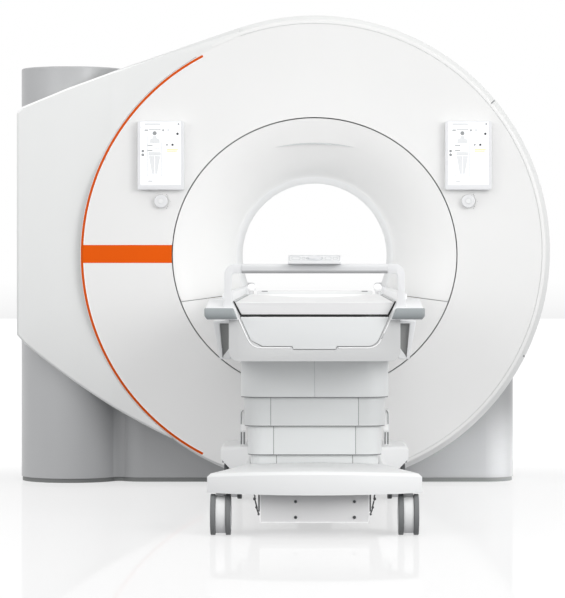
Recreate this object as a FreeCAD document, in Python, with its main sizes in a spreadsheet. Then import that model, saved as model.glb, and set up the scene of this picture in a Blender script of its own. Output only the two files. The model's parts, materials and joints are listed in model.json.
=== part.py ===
"""A closed-bore MRI scanner with its docked patient table, in millimetres.

The frame: the origin is on the floor under the isocentre, X to the right seen from the front,
Y into the bore (the front of the scanner looks along -Y) and Z up.
"""

import FreeCAD, Part
import Sketcher
import math
import os
import re

SIZES = {
    # bore, coils and magnet, all about the bore axis
    "bore_height": 857,
    "bore_radius": 300,
    "tube_reach": 500,
    "liner_wall": 8,
    "body_coil_wall": 22,
    "gradient_reach": 545,
    "vessel_bore": 440,
    "vessel_radius": 720,
    "vessel_reach": 600,
    "vessel_edge": 40,
    "foot_inner": 260,
    "foot_outer": 420,
    "foot_near": 380,
    "foot_far": 520,
    "foot_drop": 567,
    "foot_top": "=bore_height - foot_drop",
    # front cover: the disc, its rim and the left wing
    "face_front": 800,
    "cover_wall": 8,
    "shell_wall": 6,
    "disc_rise": 16,
    "disc_height": "=bore_height + disc_rise",
    "disc_radius": 880,
    "disc_floor_gap": 40,
    "rim_width": 33,
    "rim_bevel_depth": 28,
    "rim_flange_inner": 600,
    "rim_slot_angle": 39.7,
    "rim_slot_width": 5,
    "rim_plug_angle": -26.6,
    "rim_plug_radius": 5,
    "seam": 4,
    "ring_half_width": 531,
    "ring_half_height": 513,
    "wing_back": 705.3,
    "wing_left": 1116,
    "wing_corner_left": 1096,
    "wing_bend_left": 923,
    "wing_bend_rise": 610,
    "wing_bend_top": "=disc_height + wing_bend_rise",
    "wing_corner_rise": 540,
    "wing_corner_top": "=disc_height + wing_corner_rise",
    "wing_side_rise": 518,
    "wing_side_top": "=disc_height + wing_side_rise",
    "wing_side_drop": 314,
    "wing_side_bottom": "=disc_height - wing_side_drop",
    "wing_heel_left": 1086,
    "wing_heel_drop": 348,
    "wing_heel_height": "=disc_height - wing_heel_drop",
    "wing_toe_left": 533,
    "wing_belly_radius": 2690,
    "wing_sweep_start": 750,
    "wing_sweep": 50,
    "wing_edge": 7,
    # the accent strip: an arc and a bar that runs to the ring
    "arc_left": 32,
    "arc_drop": 15,
    "arc_height": "=disc_height - arc_drop",
    "arc_inset": 48,
    "arc_radius": "=disc_radius - arc_inset",
    "arc_width": 7.5,
    "arc_land": 3,
    "arc_half_angle": 62.6,
    "bar_drop": 30,
    "bar_bottom": "=arc_height - bar_drop",
    "bar_rise": 37,
    "bar_top": "=arc_height + bar_rise",
    "strip_depth": 3,
    "strip_proud": 0.6,
    # funnels
    "seam_edge_drop": 194,
    "funnel_seam_edge": "=bore_height - seam_edge_drop",
    "seam_centre_drop": 142,
    "funnel_seam_centre": "=bore_height - seam_centre_drop",
    "funnel_seam_half": 250,
    "brow_lip": 421,
    "brow_start": 480,
    "brow_axis_drop": 232,
    "brow_lip_depth": 9,
    "brow_root": 3,
    "brow_half_width": 170,
    "rear_face": 800,
    "rear_ring_radius": 518,
    # grey body, tower and plinth
    "body_half_width": 757,
    "body_front": 640,
    "body_back": 740,
    "body_corner": 110,
    "body_opening": 640,
    "plinth_height": 16,
    "plinth_inset": 4,
    "plinth_width": 60,
    "plinth_fit": 0.3,
    "tower_centre": 925,
    "tower_radius": 195,
    "tower_front_centre": 510,
    "tower_rear_centre": 330,
    "tower_top": 1568,
    "tower_edge": 6,
    "rear_cover_radius": 645,
    "rear_cover_bevel": 30,
    # displays and knobs on the front cover
    "display_inset": 308,
    "display_offset": "=disc_radius - display_inset",
    "display_rise": 355,
    "display_height": "=disc_height + display_rise",
    "display_half_width": 86.5,
    "display_half_height": 127.5,
    "display_depth": 27,
    "display_foot": 8,
    "display_foot_inset": 14,
    "display_corner": 6,
    "screen_half_width": 75.5,
    "screen_rise": 125,
    "screen_top": "=display_height + screen_rise",
    "screen_drop": 109,
    "screen_bottom": "=display_height - screen_drop",
    "screen_depth": 2,
    "knob_rise": 185,
    "knob_height": "=disc_height + knob_rise",
    "knob_radius": 25,
    "knob_depth": 18,
    "knob_gap": 1,
    "bezel_radius": 27,
    "bezel_depth": 4,
    "crescent_radius": 31,
    "crescent_width": 4,
    "crescent_half_angle": 38,
    "knob_button_radius": 10,
    "knob_button_depth": 8,
    "knob_button_travel": 2,
    # the table's level in the bore, which bridge, rails, tub and handle follow
    "table_drop": 145,
    "table_thick": 41,
    "table_top": "=bore_height - table_drop",
    "table_bottom": "=table_top - table_thick",
    # bridge and rails in the bore
    "bridge_gap": 3,
    "bridge_top": "=table_bottom - bridge_gap",
    "bridge_depth": 28,
    "bridge_front": 790,
    "bridge_back": 560,
    "guide_offset": 150,
    "guide_width": 24,
    "rail_inner": 252.6,
    "rail_slope": 6.4,
    "rail_rise": 25,
    "rail_top": "=table_top + rail_rise",
    "rail_drop": 22,
    "rail_bottom": "=table_top - rail_drop",
    "bore_rail_outer": 276,
    "bore_rail_front": 760,
    "rail_end_radius": 14.5,
    "rail_end_place": 480,
    "rail_end_inner": 260.5,
    # docking
    "socket_half_width": 120,
    "socket_front": 950,
    "socket_top": 120,
    "pocket_half_width": 62,
    "pocket_depth": 70,
    "pocket_bottom": 58,
    "pocket_top": 102,
    "coupler_gap": 0.3,
    # tabletop
    "tub_front": 2830,
    "table_half_top": 244.6,
    "table_half_bottom": 222.3,
    "table_setback": 4,
    "table_front": "=tub_front - table_setback",
    "table_back": 812,
    "table_edge": 5,
    "dish_radius": 2400,
    "dish_depth": 9,
    "dish_inset": 56,
    "dish_front": "=table_front - dish_inset",
    "dish_back": 940,
    "head_half_width": 214,
    "head_length": 70,
    "head_rise": 13,
    "head_slot_offset": 185,
    "head_slot_width": 22,
    # tub under the tabletop
    "tub_half_width": 261.5,
    "tub_back": 815,
    "tub_height": 181,
    "tub_bottom": "=table_top - tub_height",
    "tub_corner": 30,
    "table_gap": 4,
    "tub_floor_thick": 29,
    "tub_floor": "=tub_bottom + tub_floor_thick",
    "tub_end_wall": 34,
    "table_rail_offset": 180,
    "table_rail_width": 40,
    "flap_head_gap": 5,
    "flap_top": "=table_bottom - flap_head_gap",
    "flap_half_top": 226.5,
    "flap_side": 71,
    "flap_shoulder": "=flap_top - flap_side",
    "flap_half_shoulder": 194.4,
    "flap_curve": 18,
    "flap_bottom": "=flap_shoulder - flap_curve",
    "flap_half_bottom": 158,
    "flap_corner": 40,
    "flap_tab": 9,
    "flap_tab_bottom": "=flap_bottom - flap_tab",
    "flap_tab_half": 68,
    "flap_depth": 14,
    "flap_gap": 2,
    "flap_pin_radius": 3,
    "flap_pin_reach": 234,
    "flap_pin_drop": 7,
    "flap_pin_depth": 8,
    "flap_hinge_room": 20,
    # handle, corner blocks and bumper pads
    "block_outer": 330,
    "block_reach": 32,
    "block_front": "=tub_front + block_reach",
    "block_run": 140,
    "block_back": "=tub_front - block_run",
    "block_rise": 7,
    "block_top": "=table_top + block_rise",
    "block_slant": 25,
    "block_nose": "=block_top - block_slant",
    "pad_height": 36,
    "block_bottom": "=block_nose - pad_height",
    "block_inner_top": 253,
    "block_inner_nose": 240,
    "block_inner_bottom": 231,
    "block_slope": 60,
    "pad_depth": 12,
    "pad_side": 5,
    "pad_inner_top": 247,
    "pad_inner_bottom": 233,
    "pad_edge": 5,
    "leg_outer": 274,
    "leg_width": 22,
    "leg_setback": 4,
    "leg_front": "=block_front - leg_setback",
    "leg_gap": 0.3,
    "leg_depth": "=leg_front - tub_front - leg_gap",
    "leg_flare": 6,
    "leg_flare_height": 45,
    "grip_half_width": 222,
    "grip_rise": 101.5,
    "grip_height": "=table_top + grip_rise",
    "grip_half_thick": 14.5,
    "grip_half_depth": 18,
    "grip_round": 11,
    "panel_half_width": 81,
    "panel_overhang": 34,
    "panel_front": "=leg_front + panel_overhang",
    "panel_depth": 58,
    "panel_back": "=panel_front - panel_depth",
    "panel_rise": 20.5,
    "panel_low": "=grip_height + panel_rise",
    "panel_slope": 21,
    "panel_high": "=panel_low + panel_slope",
    "panel_button_half_width": 21,
    "panel_button_half_depth": 13,
    "panel_button_height": 4,
    "panel_button_travel": 1.5,
    # side rails and skirts
    "side_rail_outer": 286,
    "skirt_setback": 190,
    "skirt_front": "=tub_front - skirt_setback",
    "skirt_back": 900,
    "skirt_outer_top": 316,
    "skirt_outer_bottom": 295,
    "skirt_drop": 21,
    "skirt_top": "=table_bottom - skirt_drop",
    "skirt_wall": 5,
    "skirt_lid": 8,
    "skirt_inner_top": 296,
    "skirt_inner_bottom": 286,
    "skirt_core_recess": 14,
    "core_rise": 30,
    "core_fit": 0.3,
    # telescopic column
    "stage_half_width": 201.5,
    "stage_front": 2520,
    "stage_back": 1780,
    "stage_step": 10.5,
    "stage_wall": 6,
    "stage_corner": 40,
    "stage_two_bottom": 318.6,
    "stage_three_bottom": 227.6,
    "stage_one_bottom": 409.3,
    "stage_overlap": 26,
    "stage_collar": 8,
    "stage_seam": 1.6,
    "stage_seam_offset": 138,
    "lift_half_width": 95,
    "lift_front": 2240,
    "lift_back": 2060,
    "lift_wall": 8,
    "lift_fit": 0.3,
    "lift_outer_bottom": 60,
    "lift_outer_top": 320,
    "lift_inner_bottom": 262,
    # base
    "base_half_width": 328,
    "base_nose": 2930,
    "base_corner_front": 2820,
    "base_neck_front": 2640,
    "base_half_neck": 263,
    "base_waist_front": 2480,
    "base_half_waist": 222,
    "base_waist_back": 1660,
    "base_shoulder": 1500,
    "base_back": 1180,
    "base_bottom": 130,
    "base_top": 201,
    "base_crown_radius": 3900,
    "base_fall": 20,
    "base_wall": 5,
    "base_edge": 9,
    "apron_drop": 18,
    "apron_low": "=base_bottom - apron_drop",
    "tail_bevel_width": 36,
    "tail_bevel_height": 33,
    "chassis_bottom": 132,
    "chassis_top": 152,
    "chassis_fit": 0.3,
    "plate_half_width": 166,
    "plate_front": 2835,
    "plate_back": 2700,
    "plate_bottom": 40,
    "plate_wall": 2,
    "plate_screw_left": 58,
    "plate_screw_right": 121,
    "plate_screw_low": 56,
    "plate_screw_high": 104,
    "plate_screw_radius": 5,
    "plate_screw_head": 2.5,
    "lever_width": 5,
    "coupler_half_width": 60,
    "coupler_bottom": 60,
    "coupler_top": 100,
    "post_offset": 251,
    "post_half_width": 10,
    "post_front": 1500,
    "post_back": 1460,
    "post_top": 318,
    "post_slot_shift": 5,
    "post_slot_width": 5,
    "post_slot_depth": 8,
    "post_slot_low": 195,
    "post_slot_high": 238,
    # twin casters
    "caster_offset": 286.6,
    "caster_front": 2772,
    "caster_rear": 1400,
    "caster_trail": 35,
    "wheel_radius": 62.5,
    "wheel_outer": 31.2,
    "wheel_inner": 15.4,
    "tyre_round": 3,
    "axle_radius": 7,
    "axle_fit": 0.1,
    "hood_half_width": 14.6,
    "hood_radius": 57,
    "hood_lift": 6,
    "stem_radius": 11,
    "stem_fit": 0.3,
    "stem_height": 16,
}

doc = FreeCAD.newDocument("mri_scanner")
sheet = doc.addObject("Spreadsheet::Sheet", "Sizes")
for row, (name, value) in enumerate(SIZES.items(), start=1):
    sheet.set(f"A{row}", name)
    sheet.set(f"B{row}", str(value))
    sheet.setAlias(f"B{row}", name)
doc.recompute()

nodes = {}
FRONT_AXIS = FreeCAD.Rotation(FreeCAD.Vector(1, 0, 0), -90)
SIDE_AXIS = FreeCAD.Rotation(FreeCAD.Vector(0, 1, 0), 90)


# ---------------------------------------------------------------- helpers


def formula(text):
    """The sheet's own names in a formula, such as 2 * bore_radius."""
    return re.sub(
        r"[a-z][a-z_]+",
        lambda word: f"Sizes.{word[0]}" if word[0] in SIZES else word[0],
        str(text),
    )


def size(text):
    """What a formula is worth in millimetres (or degrees)."""
    return float(sheet.evalExpression(formula(text)))


def bind(part, **formulas):
    """Ties properties of a part to the sheet; x, y and z place it."""
    for prop, text in formulas.items():
        path = f"Placement.Base.{prop}" if prop in ("x", "y", "z") else prop
        part.setExpression(path, formula(text))
    return part


def node(name, part):
    """Names a finished sub-part, which is exported under this name."""
    part.Label = name
    nodes[name] = part
    return part


def box(label, x, y, z):
    """A block between the low and high formulas of each axis."""
    part = doc.addObject("Part::Box", label)
    bind(part, x=x[0], y=y[0], z=z[0])
    bind(part, Length=f"({x[1]}) - ({x[0]})", Width=f"({y[1]}) - ({y[0]})")
    return bind(part, Height=f"({z[1]}) - ({z[0]})")


def rod(label, radius, x, y, z):
    """A cylinder along the one axis that is given as a (low, high) pair."""
    part = doc.addObject("Part::Cylinder", label)
    spans = {"x": x, "y": y, "z": z}
    along = [axis for axis, span in spans.items() if isinstance(span, tuple)][0]
    turn = {"x": SIDE_AXIS, "y": FRONT_AXIS, "z": FreeCAD.Rotation()}[along]
    part.Placement = FreeCAD.Placement(FreeCAD.Vector(), turn)
    low, high = spans[along]
    bind(part, **{axis: low if axis == along else span for axis, span in spans.items()})
    return bind(part, Radius=radius, Height=f"({high}) - ({low})")


def join(kind, label, parts):
    """Fuse or common of several parts."""
    whole = doc.addObject(f"Part::{kind}", label)
    whole.Shapes = list(parts)
    return whole


def fuse(label, *parts):
    return join("MultiFuse", label, parts)


def common(label, *parts):
    return join("MultiCommon", label, parts)


def cut(label, base, *tools):
    """The base less the tools."""
    whole = doc.addObject("Part::Cut", label)
    whole.Base = base
    whole.Tool = tools[0] if len(tools) == 1 else fuse(f"{label}_tools", *tools)
    return whole


def mirrored(label, part, normal=FreeCAD.Vector(1, 0, 0)):
    """The part's twin on the other side of a plane through the origin."""
    twin = doc.addObject("Part::Mirroring", label)
    twin.Source = part
    twin.Normal = normal
    return twin


def pair(label, part):
    """The part and its mirror twin, two separate solids in one object."""
    both = doc.addObject("Part::Compound", label)
    both.Links = [part, mirrored(f"{label}_twin", part)]
    return both


def arc_centre(start, end, radius):
    """Centre of the minor arc from start to end; it is left of the way for a positive radius."""
    chord = (end - start) * 0.5
    reach = math.sqrt(max(radius * radius - chord.Length**2, 0))
    left = FreeCAD.Vector(-chord.y, chord.x, 0).normalize()
    return start + chord + left * math.copysign(reach, radius)


def arc_edge(start, end, radius):
    """An arc of a circle, counter-clockwise as sketches want it."""
    centre = arc_centre(start, end, radius)
    first, last = (start, end) if radius > 0 else (end, start)
    angles = [math.atan2(p.y - centre.y, p.x - centre.x) for p in (first, last)]
    circle = Part.Circle(centre, FreeCAD.Vector(0, 0, 1), abs(radius))
    return Part.ArcOfCircle(circle, angles[0], angles[1])


def pin(sketch, edge, end, point, texts):
    """Fixes one end of an edge at the two formulas of its point."""
    for kind, value, text, axis in zip(("DistanceX", "DistanceY"), point, texts, (-2, -1)):
        if abs(value) < 1e-9:
            sketch.addConstraint(Sketcher.Constraint("PointOnObject", edge, end, axis))
        else:
            rule = Sketcher.Constraint(kind, -1, 1, edge, end, value)
            index = sketch.addConstraint(rule)
            sketch.setExpression(f"Constraints[{index}]", formula(text))


def draw(sketch, loop):
    """A closed loop of corners (x, y) or (x, y, radius of the arc that arrives there)."""
    points = [FreeCAD.Vector(size(corner[0]), size(corner[1]), 0) for corner in loop]
    first = sketch.GeometryCount
    ends = []
    for i, corner in enumerate(loop):
        start, end = points[i - 1], points[i]
        radius = size(corner[2]) if len(corner) > 2 else 0
        edge = arc_edge(start, end, radius) if radius else Part.LineSegment(start, end)
        index = sketch.addGeometry(edge)
        ends.append((index, 2) if radius >= 0 else (index, 1))
        if radius:
            rule = Sketcher.Constraint("Radius", index, abs(radius))
            number = sketch.addConstraint(rule)
            sketch.setExpression(f"Constraints[{number}]", formula(f"abs({corner[2]})"))
    for i, corner in enumerate(loop):
        index, end = ends[i]
        after = first + (i + 1) % len(loop)
        start = 1 if ends[(i + 1) % len(loop)][1] == 2 else 2
        sketch.addConstraint(Sketcher.Constraint("Coincident", index, end, after, start))
        pin(sketch, index, end, (points[i].x, points[i].y), corner[:2])


def sketched(label, plane, offset, loops):
    """A body with a sketch on one of its origin planes, shifted by the offset formulas."""
    body = doc.addObject("PartDesign::Body", label)
    body.Label = label
    sketch = body.newObject("Sketcher::SketchObject", f"{label}_sketch")
    support = [f for f in body.Origin.OriginFeatures if f.Role == plane][0]
    sketch.AttachmentSupport = [(support, "")]
    sketch.MapMode = "FlatFace"
    for axis, text in zip("xyz", offset):
        sketch.setExpression(f"AttachmentOffset.Base.{axis}", formula(text))
    for loop in loops:
        draw(sketch, loop)
    return body, sketch


def prism(label, axis, low, high, *loops):
    """A pad along the axis between two formulas; loops after the first are holes.

    The corners are (y, z) along x, (x, z) along y and (x, y) along z.
    """
    plane = {"x": "YZ_Plane", "y": "XZ_Plane", "z": "XY_Plane"}[axis]
    start = f"-({high})" if axis == "y" else low
    body, sketch = sketched(label, plane, ("0", "0", start), loops)
    pad = body.newObject("PartDesign::Pad", f"{label}_pad")
    pad.Profile = sketch
    pad.setExpression("Length", formula(f"({high}) - ({low})"))
    return body


def turned(label, height, loop):
    """A revolution about the line along Y at X = 0 and the given height; corners are (y, radius)."""
    body, sketch = sketched(label, "YZ_Plane", ("0", height, "0"), [loop])
    turn = body.newObject("PartDesign::Revolution", f"{label}_turn")
    turn.Profile = sketch
    turn.ReferenceAxis = (sketch, ["H_Axis"])
    turn.Angle = 360
    return body


def rounded(x, y, radius):
    """Corners of a rectangle between two pairs of formulas, with rounded corners."""
    (left, right), (low, high) = x, y
    return [
        (f"({right}) - ({radius})", low),
        (right, f"({low}) + ({radius})", radius),
        (right, f"({high}) - ({radius})"),
        (f"({right}) - ({radius})", high, radius),
        (f"({left}) + ({radius})", high),
        (left, f"({high}) - ({radius})", radius),
        (left, f"({low}) + ({radius})"),
        (f"({left}) + ({radius})", low, radius),
    ]


def plain(x, y):
    """Corners of a plain rectangle between two pairs of formulas."""
    return [(x[0], y[0]), (x[1], y[0]), (x[1], y[1]), (x[0], y[1])]


def symmetric(half):
    """A loop from its right half, listed from the bottom up, as (x, y) corners."""
    left = [(f"-({corner[0]})", corner[1]) for corner in reversed(half)]
    return list(half) + left


def edges_where(shape, test):
    """Numbers of the edges whose ends and middle all pass the test."""
    found = []
    for number, edge in enumerate(shape.Edges, start=1):
        middle = edge.valueAt((edge.FirstParameter + edge.LastParameter) / 2)
        if all(test(v) for v in [vertex.Point for vertex in edge.Vertexes] + [middle]):
            found.append(number)
    return found


def softened(label, base, radius, test, kind="Fillet"):
    """The base with the edges that pass the test rounded or chamfered."""
    doc.recompute()
    part = doc.addObject(f"Part::{kind}", label)
    part.Base = base
    value = size(radius)
    part.Edges = [(number, value, value) for number in edges_where(base.Shape, test)]
    return part


def near(value, target):
    return abs(value - target) < 0.01


# ---------------------------------------------------------------- magnet and coils


def ring(label, inner, outer, reach):
    """A plain tube about the bore axis, as long each way as its reach."""
    loop = plain((f"-({reach})", reach), (inner, outer))
    return turned(label, "bore_height", loop)


LINER_OUT = "bore_radius + liner_wall"
COIL_OUT = f"{LINER_OUT} + 0.3 + body_coil_wall"


def magnet():
    """The cold vessel with its four welded feet, and the coils in its warm bore."""
    loop = [
        ("-vessel_reach", "vessel_bore"),
        ("vessel_reach", "vessel_bore"),
        ("vessel_reach", "vessel_radius - vessel_edge"),
        ("vessel_reach - vessel_edge", "vessel_radius", "vessel_edge"),
        ("-vessel_reach + vessel_edge", "vessel_radius"),
        ("-vessel_reach", "vessel_radius - vessel_edge", "vessel_edge"),
    ]
    vessel = turned("vessel_tank", "bore_height", loop)
    feet = []
    for side, (low, high) in (("left", ("-foot_outer", "-foot_inner")), ("right", ("foot_inner", "foot_outer"))):
        for end, span in (("front", ("-foot_far", "-foot_near")), ("rear", ("foot_near", "foot_far"))):
            feet.append(box(f"foot_{side}_{end}", (low, high), span, ("0", "foot_top")))
    hollow = rod("vessel_bore_space", "vessel_bore", "0", ("-vessel_reach", "vessel_reach"), "bore_height")
    node("magnet_vessel", cut("magnet_vessel", fuse("vessel_on_feet", vessel, *feet), hollow))
    node("gradient_coil", ring("gradient_coil", f"{COIL_OUT} + 0.3", "vessel_bore - 0.3", "gradient_reach"))
    node("body_coil", ring("body_coil", f"{LINER_OUT} + 0.3", COIL_OUT, "tube_reach"))
    node("bore_liner", ring("bore_liner", "bore_radius", LINER_OUT, "tube_reach"))


# ---------------------------------------------------------------- front cover, rim and wing

FACE_RADIUS = "disc_radius - rim_width"
ARC_OUT = "arc_radius + arc_width"
ARC_EDGE = f"{ARC_OUT} + arc_land"


def ring_hole(label, clearance, low, high):
    """The elliptical prism of the ring line around the funnel."""
    outline = doc.addObject("Part::Ellipse", f"{label}_outline")
    outline.Placement = FreeCAD.Placement(FreeCAD.Vector(), FRONT_AXIS.inverted())
    bind(outline, MajorRadius=f"ring_half_width + {clearance}", MinorRadius=f"ring_half_height + {clearance}")
    bind(outline, y=low, z="bore_height")
    hole = doc.addObject("Part::Extrusion", label)
    hole.Base = outline
    hole.DirMode = "Custom"
    hole.Dir = FreeCAD.Vector(0, 1, 0)
    hole.Solid = True
    return bind(hole, LengthFwd=f"({high}) - ({low})")


def arc_point(radius, side):
    """Where the accent arc of this radius ends, above (1) or below (-1) the bar."""
    x = f"-arc_left - ({radius}) * cos(arc_half_angle)"
    z = f"arc_height + ({side}) * ({radius}) * sin(arc_half_angle)"
    return x, z


def accent():
    """The thin arc and the bar across to the ring, one inlaid strip."""
    low, high = "-face_front - strip_proud", "-face_front + strip_depth"
    outer, inner = ARC_OUT, "arc_radius"
    loop = [
        arc_point(outer, 1),
        (*arc_point(outer, -1), outer),
        arc_point(inner, -1),
        (*arc_point(inner, 1), f"-({inner})"),
    ]
    arc = prism("accent_arc", "y", low, high, loop)
    bar = box("accent_bar_blank", ("-arc_left - arc_radius - arc_width", "0"), (low, high), ("bar_bottom", "bar_top"))
    reach = rod("accent_bar_reach", "arc_radius + arc_width / 2", "-arc_left", (low, high), "arc_height")
    inside = ring_hole("accent_bar_ring", "seam / 2", f"{low} - 1", f"{high} + 1")
    bar = cut("accent_bar", common("accent_bar_round", bar, reach), inside)
    return node("accent_strip", fuse("accent_strip", arc, bar))


def disc(label, face_radius, arc_radius, low, high):
    """The disc of the front: a circle that bulges to the accent arc on its left."""
    face = rod(f"{label}_face", face_radius, "0", (low, high), "disc_height")
    left = rod(f"{label}_left", arc_radius, "-arc_left", (low, high), "arc_height")
    half = box(f"{label}_half", ("-disc_radius - arc_left", "-arc_left"), (low, high), ("0", "2 * disc_height"))
    return fuse(label, face, common(f"{label}_bulge", left, half))


def front_cover(strip):
    """The white disc with the ring's opening and the inlay's recess."""
    low, high = "-face_front", "-face_front + cover_wall"
    blank = disc("front_disc", FACE_RADIUS, ARC_EDGE, low, high)
    hole = ring_hole("front_ring", "seam / 2", f"{low} - 1", f"{high} + 1")
    foot = box("front_foot", ("-disc_radius", "disc_radius"), (f"{low} - 1", f"{high} + 1"), ("-disc_radius", "disc_floor_gap"))
    node("front_cover", cut("front_cover", blank, hole, foot, strip))


def on_disc(radius, angle):
    """A point of the disc at an angle up from its right-hand side."""
    return f"({radius}) * cos({angle})", f"disc_height + ({radius}) * sin({angle})"


def rim(wing_room):
    """The bevelled band round the disc, with its flange on the body."""
    inner = f"{FACE_RADIUS} + 0.3"
    back = "-body_front - 0.3"
    wall = "shell_wall"
    loop = [
        ("-face_front", inner),
        ("-face_front + rim_bevel_depth", "disc_radius"),
        (back, "disc_radius"),
        (back, "rim_flange_inner"),
        (f"{back} - {wall}", "rim_flange_inner"),
        (f"{back} - {wall}", f"disc_radius - {wall}"),
        (f"-face_front + rim_bevel_depth + {wall} / 2", f"disc_radius - {wall}"),
        (f"-face_front + {wall}", inner),
    ]
    blank = turned("rim_blank", "disc_height", loop)
    foot = box("rim_foot", ("-disc_radius", "disc_radius"), ("-face_front - 1", "0"), ("-disc_radius", "disc_floor_gap"))
    slot = box("rim_slot", ("0", "2 * rim_width"), ("-face_front - 1", "-face_front + rim_bevel_depth"), ("0", "rim_slot_width"))
    turn = FreeCAD.Rotation(FreeCAD.Vector(0, 1, 0), -size("rim_slot_angle"))
    slot.Placement = FreeCAD.Placement(slot.Placement.Base, turn)
    x, z = on_disc(f"{FACE_RADIUS} + rim_width / 3", "rim_slot_angle")
    bind(slot, x=x, z=z)
    x, z = on_disc(f"{FACE_RADIUS} + rim_width / 2", "rim_plug_angle")
    plug = rod("rim_plug", "rim_plug_radius", x, ("-face_front - 1", "-face_front + rim_bevel_depth"), z)
    bulge = disc("rim_disc_room", inner, f"{ARC_EDGE} + 0.3", "-face_front - 1", "-face_front + cover_wall + 0.3")
    node("rim_band", cut("rim_band", blank, foot, slot, plug, wing_room, bulge))


def tangent_point():
    """Where the straight top edge of the wing meets the disc, as formulas."""
    across, up = "wing_bend_left", "(wing_bend_top - disc_height)"
    angle = f"(180 deg - atan({up} / {across}) - acos(disc_radius / sqrt({across}^2 + {up}^2)))"
    return f"disc_radius * cos({angle})", f"disc_height + disc_radius * sin({angle})"


def wing_outline(grow):
    """The sail left of the disc; its inner edge is cut to the disc afterwards."""
    toe = "disc_height - sqrt(disc_radius^2 - wing_toe_left^2)"
    tangent_x, tangent_z = tangent_point()
    return [
        (f"{tangent_x} * 0.78", f"disc_height + ({tangent_z} - disc_height) * 0.78"),
        (tangent_x, f"{tangent_z} + {grow}"),
        (f"-wing_bend_left - {grow} / 3", f"wing_bend_top + {grow}"),
        (f"-wing_corner_left - {grow} / 2", f"wing_corner_top + {grow}"),
        (f"-wing_left - {grow}", f"wing_side_top + {grow} / 2"),
        (f"-wing_left - {grow}", f"wing_side_bottom - {grow} / 2"),
        (f"-wing_heel_left - {grow} / 2", f"wing_heel_height - {grow}"),
        ("-wing_toe_left", f"{toe} - {grow}", "wing_belly_radius"),
        ("-wing_toe_left * 0.78", f"disc_height - (disc_height - ({toe})) * 0.78"),
    ]


def wing_plan(label, shift):
    """The wing seen from above: flat beside the disc, swept back to the left."""
    front = f"-face_front + ({shift})"
    left = "-wing_left - 20"
    run = "(wing_left + 20 - wing_sweep_start)"
    loop = [
        ("0", front),
        ("0", "-wing_back"),
        (left, "-wing_back"),
        (left, f"{front} + wing_sweep"),
        ("-wing_sweep_start", front, f"-({run}^2 + wing_sweep^2) / (2 * wing_sweep)"),
    ]
    return prism(label, "z", "0", "2 * disc_height", loop)


def wing():
    """The swept white sail, a hollow shell whose back rests on the tower."""
    span = ("-face_front - 5", "-wing_back")
    outer = common("wing_outer", prism("wing_block", "y", *span, wing_outline("0")), wing_plan("wing_plan", "0"))
    inset = prism("wing_inset", "y", "-face_front - 5", "-wing_back + 5", wing_outline("-shell_wall"))
    plan = wing_plan("wing_inner_plan", "shell_wall")
    room = disc("wing_room", f"{FACE_RADIUS} + 1", f"{ARC_EDGE} + 1", "-face_front - 10", "-wing_back + 10")
    lip = disc("wing_lip", f"{FACE_RADIUS} + 1 + shell_wall", f"{ARC_EDGE} + 1 + shell_wall", "-face_front - 10", "-wing_back + 10")
    hollow = cut("wing_hollow", common("wing_inner", inset, plan), lip)
    blank = cut("wing_blank", outer, room)
    centre = FreeCAD.Vector(0, 0, size("disc_height"))
    clear = size("disc_radius - seam")

    def outside(point):
        flat = FreeCAD.Vector(point.x, 0, point.z)
        return point.y < size("-wing_back") - 20 and (flat - centre).Length > clear

    edges = softened("wing_softened", blank, "wing_edge", outside, "Chamfer")
    node("wing_cover", cut("wing_cover", edges, hollow))
    return prism("wing_room_on_rim", "y", "-face_front - 5", "-wing_back + 2", wing_outline("2"))


# ---------------------------------------------------------------- funnels


def flare_bend(face, radius):
    """Radius of the one arc that leaves the bore along its axis and meets the face at a radius."""
    depth = f"({face} - tube_reach)"
    rise = f"({radius} - bore_radius)"
    return f"(({depth}^2 + {rise}^2) / (2 * {rise}))"


def flare(label, face, radius, wall):
    """A trumpet from the bore's end to a face, as a shell of the given wall."""
    bend = flare_bend(face, radius)
    turn = f"asin(({face} - tube_reach) / {bend})"
    back = f"-tube_reach - ({bend} - {wall}) * sin({turn})"
    top = f"bore_radius + {bend} - ({bend} - {wall}) * cos({turn})"
    loop = [
        ("-tube_reach", "bore_radius", bend),
        ("-tube_reach", f"bore_radius + {wall}"),
        (back, top, f"-({bend} - {wall})"),
        (f"-({face})", radius),
    ]
    return turned(label, "bore_height", loop)


def brow():
    """The brow over the bore: it leaves the trumpet tangentially and ends in a short lip."""
    bend = flare_bend("face_front", "ring_half_width")

    def gap(radius):
        return f"(bore_radius + {bend} - {radius})"

    def depth(radius):
        return f"sqrt({bend}^2 - {gap(radius)}^2)"

    start = f"-tube_reach - {depth('brow_start')}"
    lip = f"{start} + (brow_start - brow_lip) * {gap('brow_start')} / {depth('brow_start')}"
    high, low = "brow_start + brow_axis_drop", "brow_lip + brow_axis_drop"
    block = turned("brow_block", "bore_height - brow_axis_drop", [
        (start, high),
        (lip, low),
        (f"{lip} + brow_lip_depth", low),
        (f"{start} + brow_root", high),
    ])
    middle = box("brow_span", ("-brow_half_width", "brow_half_width"),
        ("-face_front", "-tube_reach"), ("bore_height", "bore_height + ring_half_height"))
    return common("brow", block, middle)


def seam_side(label, side, gap):
    """Everything below (-1) or above (1) the seam between the funnel's halves."""
    reach = "2 * ring_half_width"
    edge = f"funnel_seam_edge + ({gap})"
    middle = f"funnel_seam_centre + ({gap})"
    far = "bore_height + 2 * ring_half_height" if side > 0 else "-10"
    drop = f"({edge}) - (({middle}) - ({edge}))"
    loop = [
        (f"-({reach})", far),
        (f"-({reach})", drop),
        ("-funnel_seam_half", middle),
        ("funnel_seam_half", middle),
        (reach, drop),
        (reach, far),
    ]
    return prism(label, "y", "-face_front - 5", "-tube_reach + 5", loop)


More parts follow.
